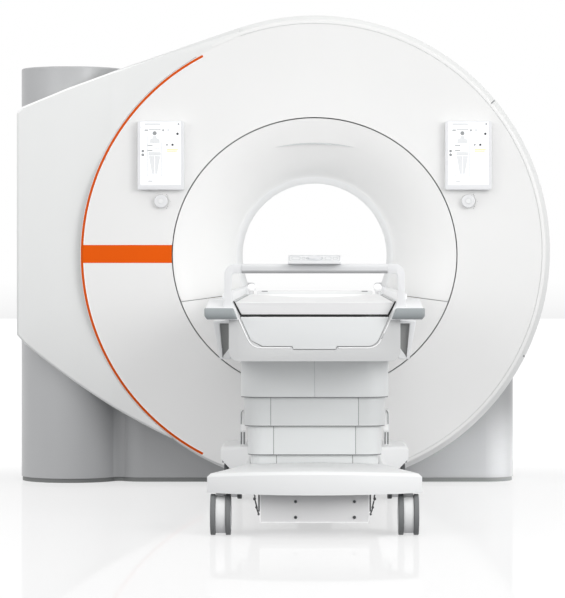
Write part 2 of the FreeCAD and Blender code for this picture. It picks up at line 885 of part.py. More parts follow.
def funnels():
    """The front trumpet in two halves with its brow, and the plain rear one."""
    shell = flare("funnel_shell", "face_front", "ring_half_width", "shell_wall")
    ring_line = ring_hole("funnel_ring", "-seam / 2", "-face_front - 1", "-tube_reach + 1")
    whole = common("funnel_whole", fuse("funnel_with_brow", shell, brow()), ring_line)
    upper = common("funnel_upper", whole, seam_side("seam_upper", 1, "1"))
    lower = common("funnel_lower", whole, seam_side("seam_lower", -1, "-1"))
    node("funnel_upper", upper)
    node("funnel_lower", lower)
    rear = flare("rear_funnel_front", "rear_face", "rear_ring_radius", "shell_wall")
    node("rear_funnel", mirrored("rear_funnel", rear, FreeCAD.Vector(0, 1, 0)))


# ---------------------------------------------------------------- grey body, tower, plinth, rear


def arch(label, half_width, bottom, low, high):
    """A block with a round top about the bore axis."""
    loop = [
        (half_width, bottom),
        (half_width, "bore_height"),
        ("0", f"bore_height + {half_width}", half_width),
        (f"-({half_width})", "bore_height", half_width),
        (f"-({half_width})", bottom),
    ]
    return prism(label, "y", low, high, loop)


def stadium(half_width, grow):
    """The tower's plan: straight sides and round ends."""
    radius = f"(tower_radius + ({grow}))"
    front, rear = "-tower_front_centre", "tower_rear_centre"
    left, right, middle = f"-tower_centre - {radius}", f"-tower_centre + {radius}", "-tower_centre"
    return [
        (middle, f"{front} - {radius}"),
        (right, front, radius),
        (right, rear),
        (middle, f"{rear} + {radius}", radius),
        (left, rear, radius),
        (left, front),
        (middle, f"{front} - {radius}", radius),
    ][1:]


def body():
    """The grey housing round the magnet, a rounded shell open below and at both ends."""
    front, back = size("-body_front"), size("body_back")

    def corner_at(low, high):
        def test(point):
            on_end = near(point.y, low) or near(point.y, high)
            return on_end and (abs(point.x) > 1 or point.z > size("bore_height"))

        return test

    block = arch("body_block", "body_half_width", "plinth_height", "-body_front", "body_back")
    soft = softened("body_outer", block, "body_corner", corner_at(front, back))
    wall = size("shell_wall")
    room = arch("body_room_block", "body_half_width - shell_wall", "plinth_height", "-body_front + shell_wall", "body_back - shell_wall")
    hollow = softened("body_room", room, "body_corner - shell_wall", corner_at(front + wall, back - wall))
    opening = rod("body_opening_space", "body_opening", "0", ("-body_front - 1", "body_back + 1"), "bore_height")
    node("body_cover", cut("body_cover", soft, hollow, opening))
    return soft


def tower(body_outer):
    """The tall grey housing left of the magnet; body and rim band close its inner side."""
    block = prism("tower_block", "z", "plinth_height", "tower_top", stadium("tower_radius", "0"))
    top = size("tower_top")
    soft = softened("tower_soft", block, "tower_edge", lambda point: near(point.z, top))
    room = prism("tower_room", "z", "plinth_height - 1", "tower_top - shell_wall", stadium("tower_radius", "-shell_wall"))
    rim_room = rod("tower_rim_room", "disc_radius + 0.3", "0", ("-face_front", "-body_front"), "disc_height")
    node("tower_cover", cut("tower_cover", soft, room, body_outer, rim_room))


def plinth():
    """The dark recessed frame under body and tower; its front bar is braced by the magnet's feet."""
    inset = "plinth_inset"
    outer = prism("plinth_body", "z", "0", "plinth_height", rounded(
        (f"-body_half_width + {inset}", f"body_half_width - {inset}"),
        (f"-body_front + {inset}", f"body_back - {inset}"), f"body_corner - {inset}"))
    under_tower = prism("plinth_tower", "z", "0", "plinth_height", stadium("tower_radius", f"-{inset}"))
    x = (f"-body_half_width + {inset} + plinth_width", f"body_half_width - {inset} - plinth_width")
    front = ("-foot_far - plinth_fit", "-plinth_width")
    rear = ("plinth_width", f"body_back - {inset} - plinth_width")
    rooms = [box(f"plinth_room_{end}", x, y, ("-1", "plinth_height + 1")) for end, y in (("front", front), ("rear", rear))]
    node("plinth", cut("plinth", fuse("plinth_outer", outer, under_tower), *rooms))


def rear_cover():
    """The dished white cover on the back, with the rear funnel's opening."""
    bevel, wall = "rear_cover_bevel", "shell_wall"
    ring_radius = "rear_ring_radius + seam"
    loop = [
        ("body_back", "rear_cover_radius"),
        (f"rear_face - {bevel}", "rear_cover_radius"),
        ("rear_face", f"rear_cover_radius - {bevel}"),
        ("rear_face", ring_radius),
        (f"rear_face - {wall}", ring_radius),
        (f"rear_face - {wall}", f"rear_cover_radius - {bevel} - {wall} / 2"),
        (f"rear_face - {bevel} - {wall} / 2", f"rear_cover_radius - {wall}"),
        ("body_back", f"rear_cover_radius - {wall}"),
    ]
    node("rear_cover", turned("rear_cover", "bore_height", loop))


# ---------------------------------------------------------------- displays, knobs


def display(side, sign):
    """A flat touch display that stands proud of the cover, and its glass."""
    centre = f"({sign}) * display_offset"
    x = (f"{centre} - display_half_width", f"{centre} + display_half_width")
    z = ("display_height - display_half_height", "display_height + display_half_height")
    front = "-face_front - display_foot - display_depth"
    case = prism(f"display_case_{side}", "y", front, "-face_front - display_foot", rounded(x, z, "display_corner"))
    inset = "display_foot_inset"
    foot = box(f"display_foot_{side}", (f"{x[0]} + {inset}", f"{x[1]} - {inset}"),
        ("-face_front - display_foot", "-face_front"), (f"{z[0]} + {inset}", f"{z[1]} - {inset}"))
    glass_x = (f"{centre} - screen_half_width", f"{centre} + screen_half_width")
    glass = box(f"screen_{side}", glass_x, (front, f"{front} + screen_depth"), ("screen_bottom", "screen_top"))
    node(f"screen_{side}", glass)
    node(f"display_{side}", cut(f"display_{side}", fuse(f"display_whole_{side}", case, foot), glass))


def knob(side, sign):
    """A jog knob with its push button, on a bezel with a raised crescent."""
    x, z = f"({sign}) * display_offset", "knob_height"
    face = "-face_front"
    plate = rod(f"bezel_plate_{side}", "bezel_radius", x, (f"{face} - bezel_depth", face), z)
    outer, inner = "crescent_radius + crescent_width / 2", "crescent_radius - crescent_width / 2"
    reach = "crescent_half_angle"
    loop = [
        (f"{x} + ({outer}) * cos({reach})", f"{z} - ({outer}) * sin({reach})"),
        (f"{x} + ({outer}) * cos({reach})", f"{z} + ({outer}) * sin({reach})", outer),
        (f"{x} + ({inner}) * cos({reach})", f"{z} + ({inner}) * sin({reach})"),
        (f"{x} + ({inner}) * cos({reach})", f"{z} - ({inner}) * sin({reach})", f"-({inner})"),
    ]
    crescent = prism(f"bezel_crescent_{side}", "y", f"{face} - bezel_depth", face, loop)
    tip = f"{face} - bezel_depth - knob_gap - knob_depth"
    base = f"{face} - bezel_depth - knob_gap"
    hub = rod(f"knob_hub_{side}", "knob_button_radius", x, (base, f"{face} - bezel_depth - 0.3"), z)
    body = rod(f"knob_body_{side}", "knob_radius", x, (tip, base), z)
    low = size(tip)
    soft = softened(f"knob_soft_{side}", body, "2.5", lambda point: near(point.y, low))
    well = rod(f"knob_well_{side}", "knob_button_radius + 0.4", x, (f"{tip} - 1", f"{tip} + knob_button_depth + knob_button_travel"), z)
    node(f"knob_{side}", cut(f"knob_{side}", fuse(f"knob_whole_{side}", soft, hub), well))
    cap = rod(f"knob_cap_{side}", "knob_button_radius", x, (f"{tip} - 0.6", f"{tip} + knob_button_depth - 0.6"), z)
    cap_low = size(f"{tip} - 0.6")
    node(f"knob_button_{side}", softened(f"knob_button_{side}", cap, "1", lambda point: near(point.y, cap_low)))
    return fuse(f"bezel_{side}", plate, crescent)


def controls():
    for side, sign in (("left", "-1"), ("right", "1")):
        display(side, sign)
    bezels = doc.addObject("Part::Compound", "knob_bezels")
    bezels.Links = [knob(side, sign) for side, sign in (("left", "-1"), ("right", "1"))]
    node("knob_bezels", bezels)


# ---------------------------------------------------------------- inside the bore


def bore_fittings():
    """The bridge that carries the tabletop in the bore, and the rails beside it."""
    reach = "bore_radius - 0.3"
    top, low = "bridge_top", "bridge_top - bridge_depth"
    half_top = f"sqrt(({reach})^2 - (bore_height - {top})^2)"
    half_low = f"sqrt(({reach})^2 - (bore_height - ({low}))^2)"
    loop = [
        (f"-({half_low})", low),
        (half_low, low),
        (half_top, top, reach),
        (f"-({half_top})", top),
        (f"-({half_low})", low, reach),
    ]
    plate = prism("bridge_plate", "y", "-bridge_front", "bridge_back", loop[1:])
    guides = []
    for side, sign in (("left", "-1"), ("right", "1")):
        middle = f"({sign}) * guide_offset"
        guides.append(box(f"guide_{side}", (f"{middle} - guide_width / 2", f"{middle} + guide_width / 2"),
            ("-bridge_front", "bridge_back"), (top, "table_bottom - 0.3")))
    node("bore_bridge", fuse("bore_bridge", plate, *guides))

    loop = [
        ("rail_inner", "rail_bottom"),
        ("bore_rail_outer", "rail_bottom"),
        ("bore_rail_outer", "rail_top"),
        ("rail_inner + rail_slope", "rail_top"),
        ("rail_inner", "table_top"),
    ]
    strip = prism("bore_rail_strip", "y", "-bore_rail_front", "tube_reach", loop)
    end = "rail_end_place"
    high = "rail_top - rail_end_radius / 2"
    cap = rod("rail_end_bar", "rail_end_radius", ("rail_end_inner", "bore_radius"), end, high)
    nose = doc.addObject("Part::Sphere", "rail_end_nose")
    bind(nose, Radius="rail_end_radius", x="rail_end_inner", y=end, z=high)
    inside = rod("bore_rail_room", reach, "0", ("-bore_rail_front", "tube_reach"), "bore_height")
    node("bore_rails", pair("bore_rails", common("bore_rail", fuse("bore_rail_whole", strip, cap, nose), inside)))


def dock_socket():
    """The docking station at the gantry's foot."""
    x = ("-socket_half_width", "socket_half_width")
    block = prism("socket_block", "x", *x, [
        ("-face_front", "0"),
        ("-face_front", "socket_top"),
        ("-socket_front + 30", "socket_top"),
        ("-socket_front", "socket_top - 30"),
        ("-socket_front", "0"),
    ])
    pocket = box("socket_pocket", ("-pocket_half_width", "pocket_half_width"),
        ("-socket_front - 1", "-socket_front + pocket_depth"), ("pocket_bottom", "pocket_top"))
    node("dock_socket", cut("dock_socket", block, pocket))


# ---------------------------------------------------------------- table: tub, top and trim


def trough(grow):
    """The tabletop's section, grown by a clearance."""
    return [
        (f"-table_half_bottom - {grow}", f"table_bottom - {grow}"),
        (f"table_half_bottom + {grow}", f"table_bottom - {grow}"),
        (f"table_half_top + {grow}", "table_top"),
        (f"table_half_top + {grow}", "table_top + 60"),
        (f"-table_half_top - {grow}", "table_top + 60"),
        (f"-table_half_top - {grow}", "table_top"),
    ]


def tabletop():
    """The long hard tabletop, dished along its length, and its head end block."""
    loop = symmetric([("table_half_bottom", "table_bottom"), ("table_half_top", "table_top")])
    blank = prism("table_blank", "y", "-table_front", "-table_back", loop)
    soft = softened("table_soft", blank, "table_edge", lambda point: point.z > size("table_bottom") + 1 and (near(point.y, size("-table_front")) or near(point.z, size("table_top"))))
    lift = "table_top - dish_depth + dish_radius"
    dish = rod("table_dish", "dish_radius", "0", ("-dish_front", "-dish_back"), lift)
    node("tabletop", cut("tabletop", soft, dish))
    span = ("-table_back - head_length", "-table_back")
    block = prism("head_blank", "y", *span, rounded(
        ("-head_half_width", "head_half_width"), ("table_top", "table_top + head_rise"), "head_rise / 3"))
    slots = []
    for side, sign in (("left", "-1"), ("right", "1")):
        middle = f"({sign}) * head_slot_offset"
        slots.append(box(f"head_slot_{side}", (f"{middle} - head_slot_width / 2", f"{middle} + head_slot_width / 2"),
            (f"{span[0]} - 1", f"{span[1]} - 10"), ("table_top + 4", "table_top + head_rise - 3")))
    node("head_socket", cut("head_socket", block, *slots))


def flap_loop(grow):
    """The front flap's outline, with its catch at the lower edge."""
    return symmetric([
        ("flap_tab_half - 3", f"flap_tab_bottom - {grow}"),
        (f"flap_tab_half + {grow}", f"flap_bottom - {grow}"),
        (f"flap_half_bottom + {grow}", f"flap_bottom - {grow}"),
        (f"flap_half_shoulder + {grow}", "flap_shoulder", "flap_corner"),
        (f"flap_half_top + {grow}", f"flap_top + {grow}"),
    ])


def tub():
    """The moulded tub that the tabletop runs in, with its flap, and the runners inside."""
    x = ("-tub_half_width", "tub_half_width")
    outline = [
        ("tub_half_width - tub_corner", "tub_bottom"),
        ("tub_half_width", "tub_bottom + tub_corner", "tub_corner"),
        ("tub_half_width", "table_top"),
        ("-tub_half_width", "table_top"),
        ("-tub_half_width", "tub_bottom + tub_corner"),
        ("-tub_half_width + tub_corner", "tub_bottom", "tub_corner"),
    ]
    blank = prism("tub_blank", "y", "-tub_front", "-tub_back", outline)
    channel = prism("tub_channel", "y", "-tub_front - 5", "-tub_back + 5", trough("table_gap"))
    inner = "table_half_bottom + table_gap"
    well = prism("tub_well", "y", "-tub_front + tub_end_wall", "-tub_back - tub_end_wall", rounded(
        (f"-{inner}", inner), ("tub_floor", "table_bottom"), "tub_corner / 2"))
    recess = prism("flap_recess", "y", "-tub_front - 5", "-tub_front + flap_depth + flap_gap", flap_loop("flap_gap"))
    pin_y, pin_z = "-tub_front - 1 + flap_pin_depth", "flap_top - flap_pin_drop"
    holes = rod("flap_pin_holes", "flap_pin_radius + 0.3", ("-flap_pin_reach - 0.3", "flap_pin_reach + 0.3"), pin_y, pin_z)
    room = box("flap_hinge_room", ("-flap_half_top - flap_gap", "flap_half_top + flap_gap"),
        (f"{pin_y} - flap_gap", "-tub_front + flap_depth + 2 * flap_gap"),
        (f"{pin_z} - flap_hinge_room", "flap_top + flap_gap"))
    node("tub", cut("tub", blank, channel, well, recess, room, holes))
    pins = rod("flap_pins", "flap_pin_radius", ("-flap_pin_reach", "flap_pin_reach"), pin_y, pin_z)
    panel = prism("flap_panel", "y", "-tub_front - 1", "-tub_front + flap_depth", flap_loop("0"))
    node("front_flap", fuse("front_flap", panel, pins))
    runner = prism("table_runner", "y", "-tub_front + tub_end_wall", "-tub_back - tub_end_wall", plain(
        ("table_rail_offset - table_rail_width / 2", "table_rail_offset + table_rail_width / 2"),
        ("tub_floor", "table_bottom - 0.3")))
    node("table_rails", pair("table_rails", runner))


def handle():
    """Corner blocks with the bent legs, the grey grip, the bumper pads and the panel."""
    front, back = "-block_front", "-block_back"
    outline = [
        ("block_inner_bottom", "block_bottom"),
        ("block_outer - 8", "block_bottom"),
        ("block_outer", "block_bottom + 12"),
        ("block_outer", "block_nose"),
        ("block_outer - 8", "block_top"),
        ("block_inner_top", "block_top"),
        ("block_inner_nose", "block_nose"),
    ]
    blank = prism("block_blank", "y", front, back, outline)
    side_view = prism("block_side", "x", "0", "block_outer + 5", [
        (front, "block_bottom"),
        (back, "block_bottom"),
        (back, "block_top"),
        (f"{front} + block_slope", "block_top"),
        (front, "block_nose"),
    ])
    tub_room = box("block_tub_room", ("0", "tub_half_width + 0.3"), ("-tub_front - 0.3", f"{back} + 5"), ("tub_bottom", "table_top"))
    table_room = prism("block_table_room", "y", f"{front} - 5", f"{back} + 5", trough("table_gap"))
    block = cut("corner_block", common("block_shaped", blank, side_view), tub_room, table_room)

    inner, outer = "leg_outer - leg_width", "leg_outer"
    top, low = "grip_height + grip_half_thick", "grip_height - grip_half_thick"
    leg_outline = [
        ("grip_half_width", low),
        (f"{inner} - 10", low),
        (inner, f"{low} - 10", "-10"),
        (inner, "block_nose + leg_flare_height"),
        (f"{inner} - leg_flare", "block_nose", "-5 * leg_flare_height"),
        (f"{outer} + leg_flare", "block_nose"),
        (outer, "block_nose + leg_flare_height", "-5 * leg_flare_height"),
        (outer, f"{top} - leg_width - 10"),
        (f"{inner} - 10", top, "leg_width + 10"),
        ("grip_half_width", top),
    ]
    leg = prism("handle_leg", "y", "-leg_front", "-leg_front + leg_depth", leg_outline)
    node("handle_brackets", pair("handle_brackets", fuse("handle_bracket", block, leg)))

    middle = "-leg_front + leg_depth / 2"
    node("handle_grip", prism("handle_grip", "x", "-grip_half_width", "grip_half_width", rounded(
        (f"{middle} - grip_half_depth", f"{middle} + grip_half_depth"), (low, top), "grip_round")))

    pad_front = f"{front} - pad_depth"
    pad_outline = [
        ("pad_inner_bottom", "block_bottom"),
        ("block_outer + pad_side - 8", "block_bottom"),
        ("block_outer + pad_side", "block_bottom + 12"),
        ("block_outer + pad_side", "block_nose"),
        ("pad_inner_top", "block_nose"),
    ]
    pad_blank = prism("pad_blank", "y", pad_front, f"{back} - 40", pad_outline)
    pad_low = size(pad_front)
    pad_soft = softened("pad_soft", pad_blank, "pad_edge", lambda point: near(point.y, pad_low))
    pad_room = box("pad_room", ("0", "block_outer"), (front, back), ("block_bottom - 1", "block_nose + 1"))
    node("bumper_pads", pair("bumper_pads", cut("bumper_pad", pad_soft, pad_room)))

    slope = [("-panel_front", top), ("-panel_front", "panel_low"), ("-panel_back", "panel_high"), ("-panel_back", top)]
    wedge = prism("control_wedge", "x", "-panel_half_width", "panel_half_width", slope[::-1])
    tilt = math.degrees(math.atan2(size("panel_high - panel_low"), size("panel_front - panel_back")))

    def on_corner(point):
        return near(abs(point.x), size("panel_half_width")) and point.z > size("panel_low") - 0.01

    panel = softened("control_wedge_soft", wedge, "4", on_corner)
    centre_y, centre_z = "-(panel_front + panel_back) / 2", "(panel_low + panel_high) / 2"
    button = oval("control_button", "panel_button_half_width", "panel_button_half_depth", "panel_button_height + 2", tilt)
    bind(button, y=f"{centre_y} + 2 * sin({tilt})", z=f"{centre_z} - 2 * cos({tilt})")
    well = oval("control_well", "panel_button_half_width + 0.5", "panel_button_half_depth + 0.5", "panel_button_height + 10", tilt)
    depth = "(2 + panel_button_travel + 0.4)"
    bind(well, y=f"{centre_y} + {depth} * sin({tilt})", z=f"{centre_z} - {depth} * cos({tilt})")
    node("control_panel", cut("control_panel", panel, well))
    node("control_button", button)


def oval(label, half_width, half_depth, height, tilt):
    """An elliptical disc whose axis leans to the front by the tilt."""
    outline = doc.addObject("Part::Ellipse", f"{label}_outline")
    bind(outline, MajorRadius=half_width, MinorRadius=half_depth)
    part = doc.addObject("Part::Extrusion", label)
    part.Base = outline
    part.DirMode = "Custom"
    part.Dir = FreeCAD.Vector(0, 0, 1)
    part.Solid = True
    part.Placement = FreeCAD.Placement(FreeCAD.Vector(), FreeCAD.Rotation(FreeCAD.Vector(1, 0, 0), tilt))
    return bind(part, LengthFwd=height)


def side_trim():
    """The rails along both sides of the tabletop, and the skirts under them."""
    outline = [
        ("rail_inner", "table_top"),
        ("tub_half_width + 0.3", "table_top"),
        ("tub_half_width + 0.3", "rail_bottom"),
        ("side_rail_outer", "rail_bottom"),
        ("side_rail_outer", "rail_top - 4"),
        ("side_rail_outer - 4", "rail_top"),
        ("rail_inner + rail_slope", "rail_top"),
    ]
    rail = prism("side_rail", "y", "-block_back", "-tub_back", outline)
    node("side_rails", pair("side_rails", rail))

    wall, inner = "skirt_wall", "tub_half_width + 0.3"
    skirt_outline = [
        (inner, "tub_bottom"),
        ("skirt_outer_bottom", "tub_bottom"),
        ("skirt_outer_top", "skirt_top"),
        (inner, "skirt_top"),
        (inner, "skirt_top - skirt_lid"),
        ("skirt_inner_top", "skirt_top - skirt_lid"),
        ("skirt_inner_bottom", f"tub_bottom + {wall}"),
        (inner, f"tub_bottom + {wall}"),
    ]
    node("side_skirts", pair("side_skirts", prism("side_skirt", "y", "-skirt_front", "-skirt_back", skirt_outline)))
    slant = f"(skirt_inner_top - skirt_inner_bottom) / (skirt_top - skirt_lid - tub_bottom - {wall})"
    reach = f"skirt_inner_bottom + core_rise * {slant}"
    core_outline = [
        (inner, f"tub_bottom + {wall} + core_rise"),
        (f"{reach} - core_fit", f"tub_bottom + {wall} + core_rise"),
        ("skirt_inner_top - core_fit", "skirt_top - skirt_lid"),
        (inner, "skirt_top - skirt_lid"),
    ]
    core = prism("side_core", "y", "-skirt_front + skirt_core_recess", "-skirt_back - skirt_core_recess", core_outline)
    node("side_cores", pair("side_cores", core))


# ---------------------------------------------------------------- table: column and base


def stage_plan(number, grow):
    """Plan of one telescopic cover; four is the innermost."""
    out = f"({4 - number} * stage_step + ({grow}))"
    x = (f"-stage_half_width - {out}", f"stage_half_width + {out}")
    y = (f"-stage_front - {out}", f"-stage_back + {out}")
    return rounded(x, y, f"stage_corner + {out}")


def stage(number, bottom, top):
    """One rounded cover of the column, with its panel seams."""
    label = f"column_cover_{number}"
    shell = prism(f"{label}_shell", "z", bottom, top, stage_plan(number, "0"), stage_plan(number, "-stage_wall"))
    if number > 1:
        reach = "stage_step - stage_wall - 0.3"
        collar = prism(f"{label}_collar", "z", f"{top} - stage_collar", top,
            stage_plan(number, reach), stage_plan(number, "-stage_wall"))
        shell = fuse(f"{label}_with_collar", shell, collar)
    front = f"-stage_front - {4 - number} * stage_step"
    offsets = ["0"] if number == 1 else [f"({sign}) * (stage_seam_offset - {9 * (number - 2)})" for sign in ("-1", "1")]
    seams = []
    for place, offset in enumerate(offsets):
        x = (f"{offset} - stage_seam / 2", f"{offset} + stage_seam / 2")
        y = (f"{front} - 1", f"{front} + stage_seam")
        seams.append(box(f"{label}_seam_{place}", x, y, (bottom, top)))
    node(label, cut(label, shell, *seams))


def column():
    """The telescopic covers and the lifting pillar inside them."""
    stage(1, "stage_one_bottom", "tub_bottom")
    stage(2, "stage_two_bottom", "stage_one_bottom + stage_overlap")
    stage(3, "stage_three_bottom", "stage_two_bottom + stage_overlap")
    stage(4, "chassis_top", "stage_three_bottom + stage_overlap")
    wall, fit = "lift_wall", "lift_fit"
    x, y = ("-lift_half_width", "lift_half_width"), ("-lift_front", "-lift_back")
    inner_x = (f"{x[0]} + {wall}", f"{x[1]} - {wall}")
    inner_y = (f"{y[0]} + {wall}", f"{y[1]} - {wall}")
    slide_x = (f"{inner_x[0]} + {fit}", f"{inner_x[1]} - {fit}")
    slide_y = (f"{inner_y[0]} + {fit}", f"{inner_y[1]} - {fit}")
    hollow_x = (f"{slide_x[0]} + {wall}", f"{slide_x[1]} - {wall}")
    hollow_y = (f"{slide_y[0]} + {wall}", f"{slide_y[1]} - {wall}")
    node("lift_column_outer", prism("lift_column_outer", "z", "lift_outer_bottom", "lift_outer_top",
        plain(x, y), plain(inner_x, inner_y)))
    node("lift_column_inner", prism("lift_column_inner", "z", "lift_inner_bottom", "tub_bottom",
        plain(slide_x, slide_y), plain(hollow_x, hollow_y)))


def base_outline(inset):
    """Plan of the base: a bowed nose, a waist along the column and a wide tail."""
    half, neck, waist = (f"({name} - ({inset}))" for name in ("base_half_width", "base_half_neck", "base_half_waist"))
    bow = f"((base_half_width^2 + (base_nose - base_corner_front)^2) / (2 * (base_nose - base_corner_front)))"
    right = [
        ("0", f"-base_nose + ({inset})"),
        (half, f"-base_corner_front + ({inset})", bow),
        (neck, "-base_neck_front"),
        (waist, "-base_waist_front"),
        (waist, "-base_waist_back"),
        (half, "-base_shoulder"),
        (half, f"-base_back - ({inset}) - 40"),
        (f"{half} - 40", f"-base_back - ({inset})"),
    ]
    left = [(f"-({corner[0]})", corner[1]) for corner in reversed(right[1:])]
    return right[1:] + left + [(*right[0], bow)]


def base_cover():
    """The crowned white cover over the chassis, with the table's dock posts."""
    def shape(label, inset, low, drop):
        loop = base_outline(inset)
        blank = prism(f"{label}_blank", "z", low, "base_top + 10", loop)
        crown = rod(f"{label}_crown", f"base_crown_radius - {drop}", "0", ("-base_nose - 5", "-base_back + 5"), "base_top - base_crown_radius")
        return common(label, blank, crown)

    outer = shape("base_outer", "0", "base_bottom", "0")
    side = size("base_top - base_fall")
    soft = softened("base_soft", outer, "base_edge", lambda point: point.z > side, "Chamfer")
    room = shape("base_room", "base_wall", "base_bottom - 1", "base_wall")
    well = prism("base_well", "z", "base_bottom - 1", "base_top + 20", stage_plan(4, "2"))
    ring = prism("apron_ring", "z", "apron_low", "base_bottom", base_outline("0"), base_outline("base_wall"))
    tail = box("apron_span", ("-base_half_width", "base_half_width"), ("-base_waist_back", "-base_shoulder"),
        ("apron_low", "base_bottom"))
    bevel = prism("tail_bevel", "y", "-base_waist_back", "-base_back + 1", [
        ("base_half_width - tail_bevel_width * (1 + 1 / tail_bevel_height)", "apron_low - 1"),
        ("base_half_width + tail_bevel_width", "apron_low - 1"),
        ("base_half_width + tail_bevel_width", "apron_low + 2 * tail_bevel_height"),
    ])
    hollow = cut("base_hollow", soft, room, well)
    shell = cut("base_shell", fuse("base_with_apron", hollow, common("apron", ring, tail)), pair("tail_bevels", bevel))
    posts, slots = [], []
    for side, sign in (("left", "-1"), ("right", "1")):
        middle = f"({sign}) * post_offset"
        posts.append(prism(f"dock_post_{side}", "x", f"{middle} - post_half_width", f"{middle} + post_half_width", [
            ("-post_front", "base_top - 12"),
            ("-post_back", "base_top - 12"),
            ("-post_back", "post_top - (post_front - post_back) / 2"),
            ("-(post_front + post_back) / 2", "post_top", "(post_front - post_back) / 2"),
            ("-post_front", "post_top - (post_front - post_back) / 2", "(post_front - post_back) / 2"),
        ]))
        for number, shift in enumerate(("-post_slot_shift", "post_slot_shift")):
            across = f"{middle} + {shift}"
            slots.append(box(f"post_slot_{side}_{number}", (f"{across} - post_slot_width / 2", f"{across} + post_slot_width / 2"),
                ("-post_front - 1", "-post_front + post_slot_depth"), ("post_slot_low", "post_slot_high")))
    node("base_cover", cut("base_cover", fuse("base_with_posts", shell, *posts), *slots))


def caster_places():
    """Names and swivel axes of the four casters."""
    for end, place in (("front", "-caster_front"), ("rear", "-caster_rear")):
        for side, sign in (("left", "-1"), ("right", "1")):
            yield f"{end}_{side}", f"({sign}) * caster_offset", place


def chassis():
    """The flat frame inside the base cover, its stem sockets and the pillar's seat."""
    inset = "base_wall + chassis_fit"
    plate = prism("chassis_plate", "z", "chassis_bottom", "chassis_top", base_outline(inset))
    pillar = box("chassis_pillar", ("-lift_half_width", "lift_half_width"), ("-lift_front", "-lift_back"),
        ("chassis_bottom - 1", "chassis_top + 1"))
    windows = []
    for end, span in (("front", ("-base_waist_front + 20", "-lift_front - 40")), ("rear", ("-lift_back + 40", "-base_waist_back - 20"))):
        windows.append(box(f"chassis_window_{end}", ("-base_half_waist + 60", "base_half_waist - 60"), span,
            ("chassis_bottom - 1", "chassis_top + 1")))
    holes = [rod(f"chassis_hole_{name}", "stem_radius + stem_fit", x, y, ("chassis_bottom - 1", "chassis_bottom + stem_height"))
        for name, x, y in caster_places()]
    node("chassis", cut("chassis", plate, pillar, *windows, *holes))


def front_plate():
    """The folded metal plate under the nose, with four screws and the brake levers beside it."""
    wall = "plate_wall"
    outer = box("plate_outer", ("-plate_half_width", "plate_half_width"), ("-plate_front", "-plate_back"), ("plate_bottom", "chassis_bottom"))
    inner = box("plate_inner", (f"-plate_half_width + {wall}", f"plate_half_width - {wall}"),
        (f"-plate_front + {wall}", f"-plate_back - {wall}"), (f"plate_bottom + {wall}", "chassis_bottom + 1"))
    node("front_plate", cut("front_plate", outer, inner))
    heads = []
    for x in ("-plate_screw_left", "plate_screw_right"):
        for z in ("plate_screw_low", "plate_screw_high"):
            heads.append(rod(f"screw_{len(heads)}", "plate_screw_radius", x, ("-plate_front - plate_screw_head", "-plate_front"), z))
    screws = doc.addObject("Part::Compound", "front_plate_screws")
    screws.Links = heads
    node("front_plate_screws", screws)
    lever = prism("brake_lever", "x", "plate_half_width + 1", "plate_half_width + 1 + lever_width", [
        ("-plate_front + 60", "chassis_bottom"),
        ("-plate_front + 10", "chassis_bottom"),
        ("-plate_front + 4", "chassis_bottom - 26"),
        ("-plate_front + 18", "chassis_bottom - 60"),
        ("-plate_front + 30", "chassis_bottom - 60"),
        ("-plate_front + 24", "chassis_bottom - 26"),
    ][::-1])
    node("brake_levers", pair("brake_levers", lever))


def coupler():
    """The table's docking tongue, which enters the socket at the gantry."""
    node("dock_coupler", prism("dock_coupler", "x", "-coupler_half_width", "coupler_half_width", [
        ("-base_back - 120", "chassis_bottom"),
        ("-base_back - 120", "coupler_bottom"),
        ("-socket_front + pocket_depth - coupler_gap", "coupler_bottom"),
        ("-socket_front + pocket_depth - coupler_gap", "coupler_top"),
        ("-base_back - 40", "coupler_top"),
        ("-base_back - 40", "chassis_bottom"),
    ]))


def casters():
    """Four twin casters: the hood swivels, and the two wheels turn with their axle."""
    for name, x, y in caster_places():
        axle_y = f"{y} - caster_trail"
        height = "wheel_radius"
        span = (f"{x} - hood_half_width", f"{x} + hood_half_width")
        shell = rod(f"hood_round_{name}", "hood_radius", span, axle_y, height)
        trim = box(f"hood_trim_{name}", span, (f"{axle_y} - hood_radius - 1", f"{axle_y} + hood_radius + 1"), ("0", "hood_lift"))
        neck = box(f"hood_neck_{name}", span, (axle_y, f"{y} + stem_radius"), (height, "chassis_bottom - 6"))
        stem = rod(f"hood_stem_{name}", "stem_radius", x, y, (height, "chassis_bottom + stem_height - 1"))
        collar = rod(f"hood_collar_{name}", "stem_radius + 8", x, y, (height, "chassis_bottom - 0.3"))
        bore = rod(f"hood_bore_{name}", "axle_radius + axle_fit", (f"{span[0]} - 1", f"{span[1]} + 1"), axle_y, height)
        slim = box(f"hood_slim_{name}", span, (f"{y} - 60", f"{y} + 60"), (height, "chassis_bottom"))
        top = fuse(f"hood_top_{name}", common(f"hood_collar_slim_{name}", collar, slim), neck, stem)
        node(f"caster_{name}", cut(f"caster_{name}", fuse(f"hood_whole_{name}", shell, top), trim, bore))
        wheels(name, x, axle_y)


